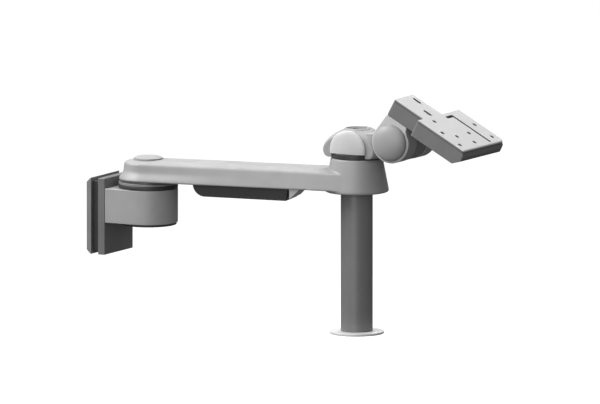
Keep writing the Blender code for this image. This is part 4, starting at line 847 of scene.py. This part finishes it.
def make_head():
    ring_low, ring_high = heights("swivel_ring", HEAD)
    ring_radius = radius_of("swivel_ring", HEAD)
    shaft = radius_of("pivot_spindle", PIVOT) - SPINDLE_SHOULDER + GAP
    ring = [
        (ring_radius, ring_high, RING_EDGE), (ring_radius, ring_low, RING_EDGE), (shaft, ring_low, 0),
        (shaft, ring_high, 0),
    ]
    piece(turned("swivel_ring_body", ring), HEAD, "swivel_head", "black_plastic", "swivel_ring")

    skirt, _ = heights("head_housing", HEAD)
    floor = ring_high + GAP
    top = heights("head_top_cap", HEAD)[1] + TOP_CAP_SUNK
    half = -local_box("side_cap_near", HEAD)[1].y - GAP
    housing = turned("head_body", dome_profile(floor, skirt, top))
    drop = math.degrees(math.asin((floor - BARREL_HEIGHT) / BARREL_RADIUS))
    barrel = arc((0, BARREL_HEIGHT), BARREL_RADIUS, drop, 180 - drop, 64)
    neck = arc((LUG.x, LUG.z), LUG_RADIUS, NECK_ARC_START, NECK_ARC_END, 96)
    neck += [(DOME_TOP_RADIUS, top - NECK_SHOULDER), (DOME_TOP_RADIUS, floor + GAP)]
    neck += [(SKIRT_BORE + GAP, floor + GAP), (SKIRT_BORE + NECK_FOOT_OUT, skirt + NECK_FOOT_RISE)]
    join(
        housing,
        prism("barrel", barrel, -half, half, upright=True),
        prism("neck", neck, -LUG_HALF, LUG_HALF, upright=True),
    )
    reach = 2 * DOME_RADIUS
    for near, far in ((-reach, -half), (half, reach)):
        square = [(-reach, 0), (reach, 0), (reach, 2 * top), (-reach, 2 * top)]
        cut(housing, prism("flat", square, near, far, upright=True))
    cast(housing, HEAD_GRAIN, HEAD_PASSES)
    recess = top - TOP_RECESS_DEPTH
    bore = [
        (0, top + PAST, 0), (TOP_RECESS_RADIUS, top + PAST, 0), (TOP_RECESS_RADIUS, recess, 0),
        (shaft, recess, 0), (shaft, floor - PAST, 0), (0, floor - PAST, 0),
    ]
    axle = local_box("tilt_axle", TILT)[1].x - AXLE_SHOULDER + LUG_FIT
    hole = rod(axle, (LUG.x, -LUG_HALF - PAST, LUG.z), (LUG.x, LUG_HALF + PAST, LUG.z), 96)
    cut(housing, turned("bore", bore), hole)
    piece(housing, HEAD, "swivel_head", "painted_light", "head_housing")

    low, high = heights("head_top_cap", HEAD)
    radius = radius_of("head_top_cap", HEAD)
    cap = [
        (0, high - TOP_DIP, 0), (radius * TOP_DIP_FLOOR, high - TOP_DIP, TOP_DIP_FILLET),
        (radius * TOP_DIP_RIM, high, TOP_DIP_EDGE), (radius, high, TOP_CAP_EDGE), (radius, low, 0),
        (0, low, 0),
    ]
    piece(turned("top_cap_disc", cap), HEAD, "swivel_head", "tray_grey", "head_top_cap")

    for side, node in ((-1, "side_cap_near"), (1, "side_cap_far")):
        near, far = local_box(node, HEAD)
        outer = max(abs(near.y), abs(far.y))
        base = half + GAP
        rim = base + SIDE_CAP_RIM
        crown = [
            (BARREL_RADIUS * math.sin(a), rim + (outer - rim) * math.cos(a), 0)
            for a in (math.pi / 2 * i / 32 for i in range(33))
        ]
        crown[0] = (0, outer, 0)
        turn = Matrix.Translation((0, 0, BARREL_HEIGHT)) @ Matrix.Rotation(-side * math.pi / 2, 4, "X")
        cap = turned(f"{node}_dome", crown + [(BARREL_RADIUS, base, 0), (0, base, 0)], place=turn)
        square = [(-WELL_PAST, 0), (WELL_PAST, 0), (WELL_PAST, near.z), (-WELL_PAST, near.z)]
        cut(cap, prism("below", square, -WELL_PAST, WELL_PAST, upright=True))
        soften(cap, SIDE_CAP_EDGE, 3)
        piece(cap, HEAD, "swivel_head", "cap_light", node)


# ---------------------------------------------------------------- tilt head
def make_tilt_bracket():
    """Two cheeks joined by a saddle above the lug, with room below it for the head's neck."""
    half = local_box("tilt_bracket", TILT)[1].y
    tray_low = local_box("plate_tray", TILT)[0]
    top = tray_low.z - GAP
    rear = tray_low.x
    back = math.degrees(math.atan2(top, rear))
    lean = math.degrees(math.acos(CHEEK_RADIUS / math.hypot(rear, top)))
    outline = arc((0, 0), CHEEK_RADIUS, back + lean, CHEEK_ARC_END, 96)
    foot = outline[-1]
    outline += [(foot[0] - CHEEK_FOOT_BACK, foot[1] + CHEEK_FOOT_RISE)]
    outline += [(BRACKET_FRONT + BRACKET_LIP, top - BRACKET_LIP_HIGH)]
    outline += [(BRACKET_FRONT, top), (rear, top)]
    bracket = soften(prism("tilt_bracket_body", outline, -half, half, upright=True), BRACKET_EDGE, 4)
    saddle = rod(CHEEK_RADIUS + GAP, (0, -CHEEK_INNER, 0), (0, CHEEK_INNER, 0), ROUND)
    below = -NECK_ROOM_REACH
    room = [(below, below), (0, below), (0, NECK_ROOM), (below, NECK_ROOM)]
    neck_room = prism("neck_room", room, -CHEEK_INNER, CHEEK_INNER, upright=True)
    axle = local_box("tilt_axle", TILT)[1].x - AXLE_SHOULDER + GAP
    seat = half - CHEEK_BORE_DEPTH
    bores = [
        rod(axle, (0, -half - PAST, 0), (0, half + PAST, 0), 96),
        rod(CHEEK_BORE_RADIUS, (0, -half - PAST, 0), (0, -seat, 0), 96),
        rod(CHEEK_BORE_RADIUS, (0, seat, 0), (0, half + PAST, 0), 96),
    ]
    cut(bracket, saddle, neck_room, *bores)
    for number in (1, 2, 3):
        low, high = local_box(f"bracket_screw_{number}", TILT)
        middle = (low + high) / 2
        shank = (high.x - low.x) / 2 / SCREW_HEAD_RATIO + GAP
        cut(bracket, rod(shank, (middle.x, middle.y, low.z - GAP), (middle.x, middle.y, top + PAST)))
    # The bracket's paler finish is painted light on its side faces
    piece(bracket, TILT, "tilt_head", "painted_light", "tilt_bracket", look=BRACKET_LIT)

    for side, node in ((-1, "end_cap_near"), (1, "end_cap_far")):
        near, far = local_box(node, TILT)
        radius = far.x
        outer = max(abs(near.y), abs(far.y))
        base = min(abs(near.y), abs(far.y))
        rim = base + END_CAP_RIM
        crown = [
            (radius * math.sin(a), rim + (outer - rim) * math.cos(a), 0)
            for a in (math.pi / 2 * i / 40 for i in range(41))
        ]
        crown[0] = (0, outer, 0)
        cap = turned(
            f"{node}_dome", crown + [(radius, base, 0), (0, base, 0)],
            place=Matrix.Rotation(-side * math.pi / 2, 4, "X"),
        )
        piece(cap, TILT, "tilt_head", "painted_light", node, look=END_CAP_GREY)


def flag_outline(low, high, front, inset=0.0, radius=CORNER):
    """Outline of the tray and of its plate: a narrow rear part and a wide front part."""
    rear = low.x + inset
    step = PLATE_STEP + inset
    near = NARROW_NEAR + inset
    far = NARROW_FAR - inset
    wide_near = low.y + inset
    wide_far = high.y - inset
    return rounded([
        (rear, near, radius), (step, near, 0), (step, wide_near, radius), (front, wide_near, NEAR_TIP),
        (front, wide_far, FAR_TIP - inset), (step, wide_far, radius), (step, far, 0), (rear, far, radius),
    ])


def screw_middles(kind, count):
    found = []
    for number in range(1, count + 1):
        low, high = local_box(f"{kind}_{number}", TILT)
        found.append(((low.x + high.x) / 2, (low.y + high.y) / 2, (high.x - low.x) / 2, low.z, high.z))
    return found


def make_tray():
    low, high = local_box("plate_tray", TILT)
    plate_front = local_box("equipment_plate", TILT)[1].x
    nose = high.x
    tray = soften(prism("tray_body", flag_outline(low, high, nose), low.z, high.z), SHEET_EDGE)
    swell_high = high.z - NOSE_HIGH
    swell_low = swell_high - NOSE_FLAT
    heel = nose - NOSE_UNDERCUT
    away = nose + PAST
    outside = rounded([
        (plate_front, high.z + PAST, 0), (plate_front, high.z, 0), (nose, swell_high, NOSE_UPPER_BEND),
        (nose, swell_low, NOSE_LOWER_BEND), (heel, low.z, 0), (heel, low.z - PAST, 0),
        (away, low.z - PAST, 0), (away, high.z + PAST, 0),
    ])
    cut(tray, prism("nose", outside, low.y - PAST, high.y + PAST, upright=True))
    floor = low.z + TRAY_WALL
    inside = flag_outline(low, high, plate_front - NOSE_WALL, TRAY_WALL, TRAY_INNER_CORNER)
    cut(tray, prism("inside", inside, floor, high.z + PAST))
    for x, y, head, start, _ in screw_middles("plate_screw", 4):
        shank = head / SCREW_HEAD_RATIO + GAP
        seat = start + head / SCREW_HEAD_RATIO * SCREW_HEAD_DEPTH + GAP
        join(tray, rod(STANDOFF_RADIUS, (x, y, floor - OVERLAP), (x, y, high.z)))
        cut(tray, rod(head + GAP, (x, y, low.z - PAST), (x, y, seat)))
        cut(tray, rod(shank, (x, y, low.z - PAST), (x, y, high.z + PAST)))
    for x, y, head, _, _ in screw_middles("bracket_screw", 3):
        cut(tray, rod(head / SCREW_HEAD_RATIO + GAP, (x, y, low.z - PAST), (x, y, floor + PAST)))
    piece(tray, TILT, "tilt_head", "tray_grey", "plate_tray")


def make_plate():
    low, high = local_box("equipment_plate", TILT)
    plate = soften(prism("plate_body", flag_outline(low, high, high.x), low.z, high.z), SHEET_EDGE)
    under = low.z - PAST
    over = high.z + PAST
    edge = PLATE_FRONT_EDGE
    bend = arc((high.x - edge, high.z - edge), edge, 90, 0, 12)
    bend += [(high.x + PAST, high.z - edge), (high.x + PAST, over), (high.x - edge, over)]
    cut(plate, prism("bend", bend, low.y - PAST, high.y + PAST, upright=True))
    hole = [
        (0, over, 0), (PLATE_HOLE_RADIUS + HOLE_CHAMFER + over - high.z, over, 0),
        (PLATE_HOLE_RADIUS, high.z - HOLE_CHAMFER, 0), (PLATE_HOLE_RADIUS, under, 0), (0, under, 0),
    ]
    cut(plate, *[turned("hole", hole, FINE, Matrix.Translation((x, y, 0))) for x, y in PLATE_HOLES])
    for x, y in PLATE_SLOTS:
        straight = SLOT_LENGTH / 2 - SLOT_RADIUS
        outline = arc((x - straight, y), SLOT_RADIUS, 90, 270, 20)
        outline += arc((x + straight, y), SLOT_RADIUS, -90, 90, 20)
        cut(plate, prism("slot", outline, under, over))
    half = GROOVE_WIDTH / 2
    near = GROOVE_START - half
    far = GROOVE_START + half
    groove = rounded([
        (near, GROOVE_FOOT, GROOVE_TIP), (far, GROOVE_FOOT, GROOVE_TIP),
        (far, GROOVE_SIDE - half, GROOVE_INSIDE), (GROOVE_END, GROOVE_SIDE - half, GROOVE_TIP),
        (GROOVE_END, GROOVE_SIDE + half, GROOVE_TIP), (near, GROOVE_SIDE + half, GROOVE_OUTSIDE),
    ])
    cut(plate, prism("groove", groove, under, over))
    for x, y, head, _, end in screw_middles("plate_screw", 4):
        cut(plate, rod(head / SCREW_HEAD_RATIO + GAP, (x, y, under), (x, y, end + GAP)))
    piece(plate, TILT, "tilt_head", "plate_light", "equipment_plate")


# ---------------------------------------------------------------- CAD nodes that stay
def dress_nodes():
    """Gives each CAD node the finish of its material slot."""
    for node in NODES.values():
        slot = node.data.materials[0].name.split(".")[0] if node.data.materials else "steel"
        for known, made in FINISHES.items():
            if known in slot:
                node.data.materials.clear()
                node.data.materials.append(made)


# ---------------------------------------------------------------- floor, light and camera
def make_floor():
    bm = bmesh.new()
    bmesh.ops.create_circle(bm, cap_ends=True, segments=96, radius=FLOOR_RADIUS)
    floor = mesh_object(bm, "floor")
    floor.location = (VIEW_TARGET.x, 0, FLOOR_HEIGHT)
    made = bpy.data.materials.new("floor_paper")
    made.use_nodes = True
    nodes = made.node_tree.nodes
    link = made.node_tree.links.new
    shader = nodes["Principled BSDF"]
    shader.inputs["Base Color"].default_value = (0.55, 0.55, 0.55, 1)
    shader.inputs["Roughness"].default_value = 0.9
    shader.inputs["Emission Color"].default_value = (1, 1, 1, 1)
    shader.inputs["Emission Strength"].default_value = 0.75
    side = nodes.new("ShaderNodeNewGeometry")
    clear = nodes.new("ShaderNodeBsdfTransparent")
    blend = nodes.new("ShaderNodeMixShader")
    link(side.outputs["Backfacing"], blend.inputs[0])
    link(shader.outputs["BSDF"], blend.inputs[1])
    link(clear.outputs["BSDF"], blend.inputs[2])
    link(blend.outputs["Shader"], nodes["Material Output"].inputs["Surface"])
    floor.data.materials.append(made)
    floor.visible_diffuse = False
    floor.visible_glossy = False


def make_light(name, direction, distance, size, power, glossy=True):
    lamp = bpy.data.lights.new(name, "AREA")
    lamp.shape = "DISK"
    lamp.size = size
    lamp.energy = power
    obj = bpy.data.objects.new(name, lamp)
    away = Vector(direction).normalized()
    obj.visible_glossy = glossy
    obj.location = VIEW_TARGET + away * distance
    obj.rotation_mode = "QUATERNION"
    obj.rotation_quaternion = away.to_track_quat("Z", "Y")
    bpy.context.scene.collection.objects.link(obj)


def make_sky():
    """Soft light all round, bright overhead and dim from below."""
    world = bpy.data.worlds.new("studio")
    bpy.context.scene.world = world
    world.use_nodes = True
    nodes = world.node_tree.nodes
    link = world.node_tree.links.new
    where = nodes.new("ShaderNodeTexCoord")
    split = nodes.new("ShaderNodeSeparateXYZ")
    level = nodes.new("ShaderNodeMapRange")
    level.inputs["From Min"].default_value = -1
    ramp = nodes.new("ShaderNodeValToRGB")
    ramp.color_ramp.elements[0].color = (0.02, 0.02, 0.02, 1)
    ramp.color_ramp.elements[1].color = (0.95, 0.95, 0.95, 1)
    middle = ramp.color_ramp.elements.new(0.5)
    middle.color = (0.34, 0.34, 0.34, 1)
    link(where.outputs["Generated"], split.inputs["Vector"])
    link(split.outputs["Z"], level.inputs["Value"])
    link(level.outputs["Result"], ramp.inputs["Fac"])
    link(ramp.outputs["Color"], nodes["Background"].inputs["Color"])
    nodes["Background"].inputs["Strength"].default_value = 0.6


def make_camera():
    data = bpy.data.cameras.new("camera")
    data.type = "ORTHO"
    data.ortho_scale = VIEW_WIDTH
    camera = bpy.data.objects.new("camera", data)
    back = Vector((
        math.sin(VIEW_AZIMUTH) * math.cos(VIEW_ELEVATION),
        -math.cos(VIEW_AZIMUTH) * math.cos(VIEW_ELEVATION),
        math.sin(VIEW_ELEVATION),
    ))
    camera.location = VIEW_TARGET + back * VIEW_DISTANCE
    camera.rotation_mode = "QUATERNION"
    camera.rotation_quaternion = (-back).to_track_quat("-Z", "Y")
    data.clip_start = 0.01
    data.clip_end = 50
    bpy.context.scene.collection.objects.link(camera)
    bpy.context.scene.camera = camera


bpy.context.scene.view_settings.view_transform = "Standard"
make_camera()
make_sky()
make_light("key", (-0.75, -0.45, 0.75), 2.4, 1.6, 57)
make_light("fill", (0.15, -0.90, 0.15), 2.6, 1.8, 22)
make_light("back", (-0.3, 0.85, 0.80), 2.2, 1.4, 48, glossy=False)
make_light("overhead", (-0.1, 0.15, 1.0), 2.2, 1.8, 15, glossy=False)
make_floor()

make_wall_bracket()
make_turntable()
make_arm()
make_cable_cover()
make_post()
make_head()
make_tilt_bracket()
make_tray()
make_plate()
dress_nodes()
